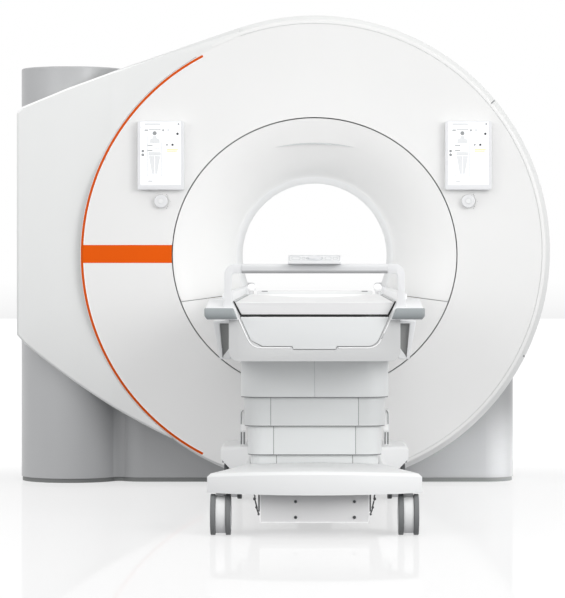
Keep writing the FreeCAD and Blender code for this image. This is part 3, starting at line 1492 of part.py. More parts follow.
def wheels(name, x, axle_y):
    """A pair of wheels joined by their axle, turned as one profile about it."""
    body, sketch = sketched(f"wheels_{name}", "XZ_Plane", (x, "wheel_radius", f"-({axle_y})"), [[
        ("-wheel_outer", "0"),
        ("wheel_outer", "0"),
        ("wheel_outer", "wheel_radius - tyre_round"),
        ("wheel_outer - tyre_round", "wheel_radius", "tyre_round"),
        ("wheel_inner + tyre_round", "wheel_radius"),
        ("wheel_inner", "wheel_radius - tyre_round", "tyre_round"),
        ("wheel_inner", "axle_radius"),
        ("-wheel_inner", "axle_radius"),
        ("-wheel_inner", "wheel_radius - tyre_round"),
        ("-wheel_inner - tyre_round", "wheel_radius", "tyre_round"),
        ("-wheel_outer + tyre_round", "wheel_radius"),
        ("-wheel_outer", "wheel_radius - tyre_round", "tyre_round"),
    ]])
    turn = body.newObject("PartDesign::Revolution", f"wheels_{name}_turn")
    turn.Profile = sketch
    turn.ReferenceAxis = (sketch, ["H_Axis"])
    turn.Angle = 360
    node(f"wheels_{name}", body)


# ---------------------------------------------------------------- build and export


def build():
    magnet()
    front_cover(accent())
    rim(wing())
    funnels()
    tower(body())
    plinth()
    rear_cover()
    controls()
    bore_fittings()
    dock_socket()
    tabletop()
    tub()
    handle()
    side_trim()
    column()
    base_cover()
    chassis()
    front_plate()
    coupler()
    casters()


def export():
    """Recomputes, checks every object and writes one file for each node."""
    doc.recompute()
    for part in doc.Objects:
        if "Invalid" in part.State or "Error" in part.State:
            raise RuntimeError(f"{part.Label} is {part.State}")
    os.makedirs("parts", exist_ok=True)
    for name, part in nodes.items():
        shape = part.Shape
        if shape.isNull() or not shape.isValid() or not shape.Solids:
            raise RuntimeError(f"{name} has no valid solid")
        shape.exportStep(f"parts/{name}.step")
        print(f"{name:22s} {len(shape.Solids)} solid(s), {shape.Volume / 1e6:9.2f} litres")


build()
export()
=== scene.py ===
"""Looks of a closed-bore MRI scanner with its docked patient table, dressed on its fixed frame.

Lengths are millimetres of the row frame, unless a comment says metres; floor, lights and camera
are in metres. Angles are degrees.
"""

import json
import math

import bmesh
import bpy
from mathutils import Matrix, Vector


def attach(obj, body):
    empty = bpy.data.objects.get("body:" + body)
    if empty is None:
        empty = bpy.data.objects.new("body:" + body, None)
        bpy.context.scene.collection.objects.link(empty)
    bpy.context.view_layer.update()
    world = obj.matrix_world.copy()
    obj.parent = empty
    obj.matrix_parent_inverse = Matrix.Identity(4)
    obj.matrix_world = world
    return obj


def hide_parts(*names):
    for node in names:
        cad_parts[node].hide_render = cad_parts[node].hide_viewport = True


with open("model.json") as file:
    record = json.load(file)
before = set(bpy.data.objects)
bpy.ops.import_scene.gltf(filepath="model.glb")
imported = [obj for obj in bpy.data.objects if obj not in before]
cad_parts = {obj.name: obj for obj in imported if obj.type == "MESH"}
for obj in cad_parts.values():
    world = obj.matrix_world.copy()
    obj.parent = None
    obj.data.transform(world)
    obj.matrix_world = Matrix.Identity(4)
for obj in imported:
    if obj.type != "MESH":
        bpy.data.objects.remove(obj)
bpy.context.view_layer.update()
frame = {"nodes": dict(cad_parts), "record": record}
NODES = frame["nodes"]
BODY_OF = {n: b for b, ns in frame["record"]["behaviour"]["bodies"].items() for n in ns}
SLOT_OF = {s["node"]: s["material_slot"] for s in frame["record"]["subparts"]}
MM = 0.001

# Places on the frame.
SIDES = (("left", -1), ("right", 1))
FACE = -800.0  # front of the cover disc, along Y
DISC = (0.0, 873.0)  # centre of the disc and of its rim
ARC = (-32.0, 858.0)  # centre of the orange arc
DISPLAY_X = 572.0  # middle of each display and of the knob under it
KNOB_Z = 1058.0

# How every finish and every edge is made.
MIX_FACTOR, MIX_FIRST, MIX_SECOND, MIX_RESULT = 0, 6, 7, 2  # sockets of a colour mix
GLOSS_DRIFT = 0.05
COAT_ROUGHNESS = 0.12
GRAIN_DEPTH = 0.0006  # metres
SMOOTH_ANGLE = 38  # edges sharper than this stay sharp
EDGE_ANGLE = 30  # edges sharper than this are rounded
FLAT_ANGLE = 0.4  # faces that turn less than this are one face
WELD = 1e-5  # metres, corners closer than this are one corner


# ---------------------------------------------------------------- materials


def linear(*rgb):
    """Screen values from 0 to 255 as linear colour."""
    return tuple(
        c / 255 / 12.92 if c / 255 <= 0.04045 else ((c / 255 + 0.055) / 1.055) ** 2.4 for c in rgb
    )


def finish(name, rgb, rough, metal=0.0, coat=0.0, bump=0.05, grain=700.0, spread=0.012,
           glow=0.0, stretch=None, gloss=0.5):
    """A procedural finish: broad colour drift, uneven gloss and a fine moulded or brushed grain."""
    material = bpy.data.materials.new(name)
    material.use_nodes = True
    nodes, links = material.node_tree.nodes, material.node_tree.links
    shader = nodes["Principled BSDF"]
    shader.inputs["Metallic"].default_value = metal
    shader.inputs["Coat Weight"].default_value = coat
    shader.inputs["Coat Roughness"].default_value = COAT_ROUGHNESS
    shader.inputs["Specular IOR Level"].default_value = gloss
    where = nodes.new("ShaderNodeTexCoord")

    def noise(scale, detail, source=None):
        made = nodes.new("ShaderNodeTexNoise")
        made.inputs["Scale"].default_value = scale
        made.inputs["Detail"].default_value = detail
        links.new(source or where.outputs["Object"], made.inputs["Vector"])
        return made.outputs["Fac"]

    def ranged(value, low, high):
        made = nodes.new("ShaderNodeMapRange")
        made.inputs["From Min"].default_value = 0.3
        made.inputs["From Max"].default_value = 0.7
        made.inputs["To Min"].default_value = low
        made.inputs["To Max"].default_value = high
        links.new(value, made.inputs["Value"])
        return made.outputs["Result"]

    colour = linear(*rgb)
    shade = nodes.new("ShaderNodeMix")
    shade.data_type = "RGBA"
    shade.inputs[MIX_FIRST].default_value = (*(c * (1 - spread) for c in colour), 1)
    shade.inputs[MIX_SECOND].default_value = (*(min(1, c * (1 + spread)) for c in colour), 1)
    links.new(ranged(noise(2.3, 3), 0, 1), shade.inputs[MIX_FACTOR])
    speckle = nodes.new("ShaderNodeMix")
    speckle.data_type = "RGBA"
    speckle.inputs[MIX_SECOND].default_value = (*(c * (1 - 2 * spread) for c in colour), 1)
    links.new(shade.outputs[MIX_RESULT], speckle.inputs[MIX_FIRST])
    links.new(ranged(noise(grain, 2), 0, 0.5), speckle.inputs[MIX_FACTOR])
    links.new(speckle.outputs[MIX_RESULT], shader.inputs["Base Color"])
    glossiest, dullest = max(0.02, rough - GLOSS_DRIFT), rough + GLOSS_DRIFT
    links.new(ranged(noise(9, 4), glossiest, dullest), shader.inputs["Roughness"])

    source = None
    if stretch:
        mapping = nodes.new("ShaderNodeMapping")
        mapping.inputs["Scale"].default_value = stretch
        links.new(where.outputs["Object"], mapping.inputs["Vector"])
        source = mapping.outputs["Vector"]
    relief = nodes.new("ShaderNodeBump")
    relief.inputs["Strength"].default_value = bump
    relief.inputs["Distance"].default_value = GRAIN_DEPTH
    links.new(noise(grain, 3, source), relief.inputs["Height"])
    links.new(relief.outputs["Normal"], shader.inputs["Normal"])
    if glow:
        shader.inputs["Emission Color"].default_value = (*colour, 1)
        shader.inputs["Emission Strength"].default_value = glow
    return material


FINISHES = {
    "cover_white": dict(rgb=(245, 245, 244), rough=0.34, coat=0.12, bump=0.04),
    "wing_white": dict(rgb=(241, 242, 241), rough=0.36, coat=0.10, bump=0.04),
    "funnel_white": dict(rgb=(249, 249, 248), rough=0.36, coat=0.10, bump=0.04),
    "housing_grey": dict(rgb=(193, 194, 195), rough=0.38, coat=0.12, bump=0.05, grain=420),
    # darker than the housing grey: painted shade for the body, which lies under the cover
    "body_grey": dict(rgb=(168, 169, 170), rough=0.40, coat=0.1, bump=0.05, grain=420),
    "plinth_dark": dict(rgb=(128, 130, 129), rough=0.55, bump=0.12, grain=420),
    "accent_orange": dict(rgb=(239, 94, 0), rough=0.45, bump=0.04, spread=0.02, gloss=0.1),
    # a darker copy of the accent orange: painted shade on the arc
    "arc_orange": dict(rgb=(216, 86, 4), rough=0.45, bump=0.04, spread=0.02, gloss=0.1),
    "socket_white": dict(rgb=(228, 229, 229), rough=0.45, bump=0.04),
    # a darker copy of the column white: painted shade for the second column cover
    "column_painted_shade": dict(rgb=(221, 223, 223), rough=0.42, bump=0.05),
    # a darker copy of the cover white: painted shade on the rim's bevel, the band along the wing
    # and the plug cover
    "rim_white": dict(rgb=(236, 237, 236), rough=0.36, coat=0.10, bump=0.04),
    # for joints and edge lines, and as painted shade under the column covers
    "edge_grey": dict(rgb=(120, 122, 123), rough=0.55, bump=0.06),
    "vessel_steel": dict(
        rgb=(196, 198, 200), rough=0.35, metal=1.0, grain=180,
        stretch=(1, 0.05, 1),
    ),
    "coil_epoxy": dict(rgb=(186, 170, 138), rough=0.55, bump=0.15, grain=160, spread=0.05),
    "bore_lining": dict(rgb=(249, 250, 250), rough=0.40, bump=0.04),
    "display_case": dict(rgb=(238, 239, 241), rough=0.30, coat=0.15, bump=0.03),
    "screen_face": dict(
        rgb=(252, 253, 254), rough=0.10, coat=0.4, bump=0.0, spread=0.003,
        glow=0.22,
    ),
    "knob_silver": dict(rgb=(232, 233, 234), rough=0.32, metal=0.35, grain=300, bump=0.05),
    "knob_cap": dict(rgb=(244, 245, 245), rough=0.35, bump=0.06),
    "bore_grey": dict(rgb=(233, 234, 235), rough=0.40, bump=0.05),
    "dock_dark": dict(rgb=(120, 122, 124), rough=0.50, bump=0.10),
    "table_white": dict(rgb=(250, 250, 250), rough=0.34, coat=0.08, bump=0.05),
    "tub_white": dict(rgb=(217, 218, 218), rough=0.42, coat=0.04, bump=0.05),
    "flap_white": dict(rgb=(239, 241, 241), rough=0.40, coat=0.04, bump=0.05),
    # a white that glows a little: painted highlight on lines, beads and small white parts
    "bright_edge": dict(rgb=(253, 253, 253), rough=0.25, coat=0.2, bump=0.0, glow=0.10),
    "base_white": dict(rgb=(248, 249, 249), rough=0.52, bump=0.05),
    "grip_shadow": dict(rgb=(196, 197, 198), rough=0.55, bump=0.14, grain=900),
    # for printed marks and seams, and as painted shade in the strip under the brow
    "mark_grey": dict(rgb=(206, 209, 210), rough=0.45, bump=0.03),
    "hub_grey": dict(rgb=(222, 224, 225), rough=0.38, bump=0.06),
    "handle_grey": dict(rgb=(232, 233, 234), rough=0.42, bump=0.10, grain=900),
    "bumper_grey": dict(
        rgb=(160, 166, 168), rough=0.42, coat=0.15, bump=0.12, grain=900,
        spread=0.03,
    ),
    "skirt_white": dict(rgb=(244, 245, 246), rough=0.36, coat=0.08, bump=0.05),
    "core_dark": dict(rgb=(150, 151, 150), rough=0.60, bump=0.10),
    "column_white": dict(rgb=(230, 232, 232), rough=0.40, bump=0.05),
    "pillar_steel": dict(
        rgb=(170, 172, 174), rough=0.30, metal=1.0, grain=260,
        stretch=(1, 1, 0.04),
    ),
    "chassis_steel": dict(rgb=(120, 122, 124), rough=0.50, bump=0.12),
    "plate_metal": dict(rgb=(243, 243, 243), rough=0.40, bump=0.08, grain=500),
    "screw_steel": dict(rgb=(96, 98, 100), rough=0.30, metal=0.8, bump=0.05),
    "lever_dark": dict(rgb=(98, 100, 102), rough=0.45, bump=0.08),
    "caster_grey": dict(rgb=(240, 241, 241), rough=0.40, bump=0.06),
    "tyre_grey": dict(rgb=(120, 122, 123), rough=0.55, bump=0.18, grain=600, spread=0.04),
    "gap_dark": dict(rgb=(18, 19, 20), rough=0.70, bump=0.05),
    # for drawn lines, ticks and the plug, and as painted shade in slots and round the knobs
    "line_grey": dict(rgb=(150, 152, 153), rough=0.50, bump=0.05),
}


def graded(name, base, stops):
    """A finish whose grey passes through several tones from left to right across the object."""
    material = finish(name, **FINISHES[base])
    nodes, links = material.node_tree.nodes, material.node_tree.links
    where, split, place, ramp = (
        nodes.new(f"ShaderNode{kind}")
        for kind in ("TexCoord", "SeparateXYZ", "MapRange", "ValToRGB")
    )
    start, stop = stops[0][0], stops[-1][0]
    place.inputs["From Min"].default_value = start * MM
    place.inputs["From Max"].default_value = stop * MM
    ramp.color_ramp.interpolation = "EASE"
    while len(ramp.color_ramp.elements) < len(stops):
        ramp.color_ramp.elements.new(0.5)
    for element, (x, tone) in zip(ramp.color_ramp.elements, stops):
        element.position = (x - start) / (stop - start)
        element.color = (*linear(tone, tone + 1, tone + 2), 1)
    links.new(where.outputs["Object"], split.inputs["Vector"])
    links.new(split.outputs["X"], place.inputs["Value"])
    links.new(place.outputs["Result"], ramp.inputs["Fac"])
    links.new(ramp.outputs["Color"], nodes["Principled BSDF"].inputs["Base Color"])
    return material


# The hollow's tones: painted shade, the grey darkening from the tower's tone into the crease and on
# to the body's.
HOLLOW_SHADE_TONES = ((-774, 193), (-740, 168), (-715, 166))
# The body's tones: painted shade, darker than the housing, and a painted highlight that rises and
# dips across its right round corner.
BODY_PAINTED_LIGHT_TONES = ((610, 176), (660, 179), (702, 177), (740, 170), (756, 178))
MATERIALS = {name: finish(name, **how) for name, how in FINISHES.items()}
MATERIALS["hollow_grey"] = graded("hollow_grey", "housing_grey", HOLLOW_SHADE_TONES)
MATERIALS["body_painted_highlight_and_shade"] = graded("body_painted_highlight_and_shade", "body_grey", BODY_PAINTED_LIGHT_TONES)


# ---------------------------------------------------------------- mesh helpers


def settle(obj, body, slot, material=None):
    """Links a piece, gives it its finish and lets it ride on its body."""
    bpy.context.scene.collection.objects.link(obj)
    obj.data.materials.clear()
    obj.data.materials.append(MATERIALS[material or slot])
    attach(obj, body)
    return obj


def smooth(mesh):
    mesh.shade_smooth()
    mesh.set_sharp_from_angle(angle=math.radians(SMOOTH_ANGLE))


def applied(obj):
    """Applies the modifiers of an object that is already linked."""
    graph = bpy.context.evaluated_depsgraph_get()
    made = bpy.data.meshes.new_from_object(obj.evaluated_get(graph))
    obj.modifiers.clear()
    obj.data = made
    smooth(made)


def bevelled(obj, width, segments):
    """Rounds the edges of an object that is already linked."""
    modifier = obj.modifiers.new("edge", "BEVEL")
    modifier.width = width * MM
    modifier.segments = segments
    modifier.limit_method = "ANGLE"
    modifier.angle_limit = math.radians(EDGE_ANGLE)
    modifier.miter_outer = "MITER_ARC"
    modifier.use_clamp_overlap = True
    applied(obj)


def mesh_object(name, verts, faces, body, slot, material=None, edge=0.0):
    """A piece from corners in millimetres."""
    mesh = bpy.data.meshes.new(name)
    mesh.from_pydata([tuple(c * MM for c in v) for v in verts], [], faces)
    work = bmesh.new()
    work.from_mesh(mesh)
    bmesh.ops.recalc_face_normals(work, faces=work.faces)
    work.to_mesh(mesh)
    work.free()
    smooth(mesh)
    obj = settle(bpy.data.objects.new(name, mesh), body, slot, material)
    if edge:
        bevelled(obj, edge, 2)


def slab(outline, axis, low, high):
    """Corners and faces of a prism; the outline is (x, z) or (x, y) as in the frame."""
    place = {"y": lambda a, b, h: (a, h, b), "z": lambda a, b, h: (a, b, h)}[axis]
    count = len(outline)
    verts = [place(a, b, h) for h in (low, high) for a, b in outline]
    faces = [tuple(range(count)), tuple(range(2 * count - 1, count - 1, -1))]
    faces += [(i, (i + 1) % count, count + (i + 1) % count, count + i) for i in range(count)]
    return verts, faces


def lathe(profile, axis, centre, turns, start=0.0, sweep=360.0):
    """Corners and faces of a turned profile of (along, radius) about a line."""
    closed = sweep >= 360
    steps = turns if closed else turns + 1
    verts, faces = [], []
    for i in range(steps):
        angle = math.radians(start + sweep * i / turns)
        for along, radius in profile:
            a, b = radius * math.cos(angle), radius * math.sin(angle)
            point = {"x": (along, a, b), "y": (a, along, b)}[axis]
            verts.append(tuple(p + c for p, c in zip(point, centre)))
    count = len(profile)
    for i in range(steps if closed else steps - 1):
        j = (i + 1) % steps
        for k in range(count):
            n = (k + 1) % count
            faces.append((i * count + k, i * count + n, j * count + n, j * count + k))
    if not closed:
        faces += [tuple(range(count)), tuple(range(len(verts) - 1, len(verts) - count - 1, -1))]
    return verts, faces


def merged(parts):
    """Several (verts, faces) as one."""
    verts, faces = [], []
    for v, f in parts:
        base = len(verts)
        verts += v
        faces += [tuple(base + i for i in face) for face in f]
    return verts, faces


def rect(x0, x1, z0, z1):
    return [(x0, z0), (x1, z0), (x1, z1), (x0, z1)]


def circle(x, z, radius, count):
    turns = [2 * math.pi * i / count for i in range(count)]
    return [(x + radius * math.cos(a), z + radius * math.sin(a)) for a in turns]


def rounded_rect(x0, x1, z0, z1, radius, steps):
    left, right, low, high = x0 + radius, x1 - radius, z0 + radius, z1 - radius
    points = []
    for cx, cz, first in ((right, low, -90), (right, high, 0), (left, high, 90), (left, low, 180)):
        for i in range(steps + 1):
            angle = math.radians(first + 90 * i / steps)
            points.append((cx + radius * math.cos(angle), cz + radius * math.sin(angle)))
    return points


def swept(points, radius, sides=8):
    """Corners and faces of a round rod along points."""
    verts, faces = [], []
    line = [Vector(p) for p in points]
    for i, p in enumerate(line):
        ahead = line[min(i + 1, len(line) - 1)] - line[max(i - 1, 0)]
        steep = abs(ahead.normalized().z) >= 0.9
        side = ahead.cross(Vector((1, 0, 0)) if steep else Vector((0, 0, 1)))
        side.normalize()
        up = ahead.cross(side).normalized()
        for k in range(sides):
            angle = 2 * math.pi * k / sides
            verts.append(tuple(p + radius * (math.cos(angle) * side + math.sin(angle) * up)))
    for i in range(len(line) - 1):
        for k in range(sides):
            n = (k + 1) % sides
            faces.append((i * sides + k, i * sides + n, (i + 1) * sides + n, (i + 1) * sides + k))
    faces.append(tuple(range(sides)))
    faces.append(tuple(range(len(verts) - 1, len(verts) - sides - 1, -1)))
    return verts, faces


def pillow(node, voxel, rounds, front, middle, half, depth):
    """A plump copy of a solid: an even grid, relaxed and domed at the front, stands for it."""
    roundness, reach = 0.98, 40  # of the dome, and how far back from the front it is felt
    mesh = NODES[node].data.copy()
    obj = settle(bpy.data.objects.new(f"{node}_dressed", mesh), BODY_OF[node], SLOT_OF[node])
    grid = obj.modifiers.new("grid", "REMESH")
    grid.mode = "VOXEL"
    grid.voxel_size = voxel * MM
    relax = obj.modifiers.new("relax", "SMOOTH")
    relax.factor, relax.iterations = 0.5, rounds
    applied(obj)
    for corner in obj.data.vertices:
        off = min(1.0, abs(corner.co.z / MM - middle) / half)
        sink = depth * (1 - math.sqrt(1 - roundness * off * off))
        near = max(0.0, 1 - (corner.co.y / MM - front) / reach)
        corner.co.y += sink * near * MM
    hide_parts(node)


def dressed(node, width, material=None, level=None):
    """A copy of a solid with rounded edges stands for it; its faces are divided at a level."""
    source = NODES[node].data.copy()
    for attribute in [a for a in source.attributes if a.name == "custom_normal"]:
        source.attributes.remove(attribute)
    work = bmesh.new()
    work.from_mesh(source)
    bmesh.ops.remove_doubles(work, verts=work.verts, dist=WELD)
    flat = math.radians(FLAT_ANGLE)
    bmesh.ops.dissolve_limit(work, angle_limit=flat, verts=work.verts, edges=work.edges)
    if level:
        whole = work.verts[:] + work.edges[:] + work.faces[:]
        cut = (0, 0, level * MM)
        bmesh.ops.bisect_plane(work, geom=whole, plane_co=cut, plane_no=(0, 0, 1))
    mesh = bpy.data.meshes.new(f"{node}_dressed")
    work.to_mesh(mesh)
    work.free()
    obj = settle(
        bpy.data.objects.new(f"{node}_dressed", mesh), BODY_OF[node], SLOT_OF[node], material,
    )
    bevelled(obj, width, 3)
    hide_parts(node)


# ---------------------------------------------------------------- finishes on every solid

for name, obj in NODES.items():
    obj.data.materials.clear()
    obj.data.materials.append(MATERIALS[SLOT_OF[name]])
# The body cover wears the graded grey with its painted highlight and shade.
NODES["body_cover"].data.materials[0] = MATERIALS["body_painted_highlight_and_shade"]
NODES["head_socket"].data.materials[0] = MATERIALS["socket_white"]

EDGES = {
    "tabletop": 2.5, "tub": 2.5, "front_flap": 1.2, "handle_brackets": 4.0, "handle_grip": 2.5,
    "control_panel": 0.5, "side_rails": 3.0, "side_skirts": 2.0,
    "display_left": 2.5, "display_right": 2.5, "column_cover_1": 1.2, "column_cover_2": 1.2,
    "column_cover_3": 1.2, "column_cover_4": 1.2, "front_plate": 1.0,
    "dock_socket": 3.0, "bore_bridge": 2.0, "bore_rails": 3.0, "wing_cover": 2.5, "rim_band": 2.0,
    "base_cover": 3.0, "brake_levers": 1.5, "dock_coupler": 2.0, "funnel_upper": 1.0,
}
OWN_FINISH = {
    "front_flap": "flap_white", "base_cover": "base_white", "rim_band": "rim_white",
    # the second column cover wears the darker copy of the column white: painted shade
    "column_cover_2": "column_painted_shade",
}
# The grip's faces below this height get a darker finish: painted shade on its underside.
GRIP_SPLIT = 807.5  # below this height the grip lies in its own shade
LEVELS = {"handle_grip": GRIP_SPLIT}
for name, width in EDGES.items():
    dressed(name, width, material=OWN_FINISH.get(name), level=LEVELS.get(name))
pillow("bumper_pads", voxel=2.5, rounds=10, front=-2874, middle=677, half=18.5, depth=16)
# The bore rails take the lighter display white as painted light against the shade in the bore
# mouth; the button takes it for its colour.
for name in ("bore_rails_dressed", "control_button"):
    bpy.data.objects[name].data.materials[0] = MATERIALS["display_case"]


def repainted(name, material, wanted):
    """Gives the faces that pass a test another finish."""
    mesh = bpy.data.objects[name].data
    mesh.materials.append(MATERIALS[material])
    for face in mesh.polygons:
        if wanted(face):
            face.material_index = len(mesh.materials) - 1


repainted(
    "handle_grip_dressed", "grip_shadow", lambda face: face.center.z < (GRIP_SPLIT - 0.1) * MM,
)
# The wing's upper bevel above this height wears the glowing white: a painted highlight along its
# top edge.
WING_TOP_FROM = 1.3  # metres; above this height the wing's bevel is bright
repainted(
    "wing_cover_dressed", "bright_edge",
    lambda face: face.normal.z > 0.3 and face.normal.y < -0.3 and face.center.z > WING_TOP_FROM,
)


# ---------------------------------------------------------------- the two touch screens


def screen_picture(side, centre):
    """A generic patient page: plain fields, lines and a simple figure on the glass."""
    wide, tall, top = 151.0, 234.0, 1353.0
    glass, layer, gap = -835.0, 0.12, 0.02

    def at(u, v):
        return centre + (u - 0.5) * wide, top - v * tall

    def field(u0, u1, v0, v1):
        (x0, z1), (x1, z0) = at(u0, v0), at(u1, v1)
        return rect(x0, x1, z0, z1)

    def dot(u, v, radius):
        return circle(*at(u, v), radius * wide, 20)

    def drawn(*points):
        return [at(u, v) for u, v in points]

    shapes = {
        (247, 248, 248): [field(0.565, 0.975, 0.49, 0.975)],
        (222, 224, 225): [
            field(0.1, 0.49, 0.026, 0.052), field(0.0, 1.0, 0.082, 0.091),
            field(0.16, 0.177, 0.211, 0.86), field(0.515, 0.532, 0.32, 0.86),
            field(0.17, 0.53, 0.855, 0.864), field(0.66, 0.71, 0.118, 0.148),
            field(0.6, 0.75, 0.236, 0.25), field(0.6, 0.75, 0.285, 0.299),
        ],
        (176, 179, 180): [
            field(0.1, 0.19, 0.124, 0.146), field(0.21, 0.5, 0.122, 0.134),
            dot(0.56, 0.136, 0.028), dot(0.652, 0.366, 0.026),
            field(0.19, 0.3, 0.937, 0.95), dot(0.938, 0.037, 0.026),
            *[field(0.175, 0.3, v - 0.008, v + 0.008) for v in (0.376, 0.458)],
        ],
        (150, 153, 154): [
            dot(0.06, 0.466, 0.033), dot(0.06, 0.526, 0.035), dot(0.35, 0.182, 0.05),
        ],
        (72, 74, 76): [dot(0.913, 0.192, 0.03), dot(0.79, 0.366, 0.028)],
        (255, 232, 180): [field(0.65, 0.93, 0.436, 0.452), field(0.65, 0.9, 0.462, 0.476)],
        (229, 231, 232): [
            drawn((0.22, 0.34), (0.23, 0.28), (0.3, 0.262), (0.31, 0.225), (0.39, 0.225),
                  (0.4, 0.262), (0.47, 0.28), (0.48, 0.34)),
            field(0.25, 0.49, 0.41, 0.426), field(0.2, 0.5, 0.48, 0.535),
            drawn((0.21, 0.545), (0.342, 0.545), (0.338, 0.83), (0.29, 0.83)),
            drawn((0.358, 0.545), (0.49, 0.545), (0.41, 0.83), (0.362, 0.83)),
        ],
    }
    for number, (rgb, outlines) in enumerate(shapes.items()):
        face = glass - layer * (number + 1)
        fields = [slab(outline, "y", face, glass - gap) for outline in outlines]
        tone = f"screen_tone_{number}"
        if tone not in MATERIALS:
            MATERIALS[tone] = finish(
                tone, rgb, 0.15, coat=0.3, bump=0.0, spread=0.004, glow=0.12,
            )
        mesh_object(
            f"screen_{side}_tone_{number}", *merged(fields), "gantry", "screen_face", tone,
        )


for side, sign in SIDES:
    screen_picture(side, sign * DISPLAY_X)


# ---------------------------------------------------------------- front cover: arc, rim and wing

RIM_START, RIM_WIDTH, RIM_FALL = 847, 33, 28  # inner radius, width and fall of the rim's bevel
SLOT_ANGLE = 39.85  # of the slot in the rim, up on the right
PLUG_ANGLE = -26.6  # of the plug in the rim, down on the right
WING_CORNER, WING_SLOPE = (-287.5, 1704.7), 0.3457  # upper edge of the wing


def on_disc(radius, angle, y):
    turn = math.radians(angle)
    return radius * math.cos(turn), y, DISC[1] + radius * math.sin(turn)


def along_circle(centre, radius, first, last, y, count=60):
    """Points of a circle that faces the front, from one angle to another."""
    angles = (math.radians(first + (last - first) * i / count) for i in range(count + 1))
    return [(centre[0] + radius * math.cos(a), y, centre[1] + radius * math.sin(a)) for a in angles]


# A thin bead just inside the orange arc, in the glowing white: a painted highlight along the disc's
# edge.
mesh_object("arc_bright_edge", *merged([
    swept(along_circle(ARC, 829.4, first, last, FACE - 0.2, 90), 1.5)
    for first, last in ((117.6, 177.4), (182.1, 242.4))
]), "gantry", "cover_white", "bright_edge")
# The orange arc wears the darker copy of the accent orange: painted shade.
mesh_object("arc_face", *lathe(
    [(FACE - 0.9, 831.3), (FACE - 0.9, 840.0), (FACE - 0.2, 840.0), (FACE - 0.2, 831.3)],
    "y", (ARC[0], 0, ARC[1]), 180, 117.5, 125.0,
), "gantry", "accent_orange", "arc_orange")
roll = [
    (-0.3, 849.5), (-0.3, 857.5), (0.6, 860.6), (3.2, 863.0),
    (7.0, 864.4), (15.2, 864.6), (18.0, 864.6), (18.0, 849.5),
]
mesh_object("rim_roll", *lathe(
    [(FACE + y, r) for y, r in roll], "y", (DISC[0], 0, DISC[1]), 210, -79.4, 196.0,
), "gantry", "cover_white")
mesh_object("cover_joint", *merged([
    swept(along_circle(DISC, 847.6, 108.9, 121.5, FACE + 0.2), 1.3),
    swept([on_disc(847.6, 109.07, FACE - 0.4), on_disc(879.0, 109.3, FACE + 27.1)], 1.4),
]), "gantry", "cover_white")


def rim_patch(angle, first, last, half, sink):
    """A patch along the rim's bevel, sunk under its surface or, where negative, raised over it."""
    turn = math.radians(angle)
    corners = []
    for radius, side in ((first, -half), (first, half), (last, half), (last, -half)):
        across, up = radius * math.cos(turn), radius * math.sin(turn)
        x = across - side * math.sin(turn)
        z = DISC[1] + up + side * math.cos(turn)
        y = FACE + RIM_FALL * (radius - RIM_START) / RIM_WIDTH + sink
        corners += [(x, y, z), (x, y + 2.0, z)]
    near, far = corners[::2], corners[1::2]
    sides = [(i, (i + 1) % 4, 4 + (i + 1) % 4, 4 + i) for i in range(4)]
    return near + far, [(0, 1, 2, 3), (7, 6, 5, 4), *sides]


def wing_top(x, below):
    """A point at some depth under the upper edge of the wing."""
    return x, WING_CORNER[1] + WING_SLOPE * (x - WING_CORNER[0]) - below


# The slot's floor and the mark across it in the dark line grey: painted shade inside the slot.
mesh_object(
    "rim_slot_floor", *rim_patch(SLOT_ANGLE, 858.5, 879.0, 3.2, 1.6),
    "gantry", "cover_white", "line_grey",
)
edge = [wing_top(x, 1.6) for x in (-284, -400, -520, -640, -742)]
taper = [
    wing_top(x, below)
    for x, below in ((-742, 3.0), (-640, 5.5), (-520, 8.5), (-400, 11.5), (-284, 14.0))
]
# The band under the wing's top edge, in the rim's darker white: painted shade carrying the bevel's
# look on along the wing.
mesh_object(
    "wing_top_band", *slab(edge + taper, "y", FACE - 1.0, FACE + 0.6),
    "gantry", "cover_white", "rim_white",
)
mark = [
    on_disc(r, SLOT_ANGLE + t, 0)[::2]
    for r, t in ((857.8, -0.18), (857.8, 0.18), (864.4, 0.18), (864.4, -0.18))
]
mesh_object(
    "rim_slot_mark", *slab(mark, "y", FACE - 0.7, FACE + 12), "gantry", "cover_white", "line_grey",
)
mesh_object(
    "rim_plug_cover", *rim_patch(PLUG_ANGLE, 864.0, 870.0, 6.0, -0.3),
    "gantry", "cover_white", "rim_white",
)
mesh_object(
    "rim_plug_face", *rim_patch(PLUG_ANGLE - 0.1, 871.5, 878.5, 3.4, -0.4),
    "gantry", "cover_white", "line_grey",
)


# ---------------------------------------------------------------- front cover: lip of the brow


def brow_shade(count=60):
    """A soft grey strip under the lip of the brow, fading out at both ends: painted shade where the
    lip's shadow falls.
    """
    half, radius_out, middle = 150, 653.3, 625
    front, back = -753.6, -751.6
    verts, faces = [], []
    for i in range(count + 1):
        x = half * (2 * i / count - 1)
        radius_in = radius_out - (0.15 + 5.2 * max(0.0, 1 - (x / half) ** 2) ** 0.7)
        for radius, y in (
            (radius_out, front), (radius_in, front), (radius_in, back), (radius_out, back),
        ):
            verts.append((x, y, middle + math.sqrt(radius ** 2 - x ** 2)))
    for i in range(count):
        faces += [
            (4 * i + k, 4 * i + (k + 1) % 4, 4 * i + 4 + (k + 1) % 4, 4 * i + 4 + k)
            for k in range(4)
        ]
    faces += [(0, 1, 2, 3), tuple(range(len(verts) - 1, len(verts) - 5, -1))]
    return verts, faces


# The strip under the brow is painted shade.
mesh_object("brow_shade", *brow_shade(), "gantry", "cover_white", "mark_grey")


# ---------------------------------------------------------------- bore mouth: ends of the rails

RAIL_CAP = [
    (-768, 0.0), (-768, 9.6), (-766.8, 12.72), (-764, 15.12),
    (-760, 15.6), (-746, 15.6), (-746, 0.0),
]
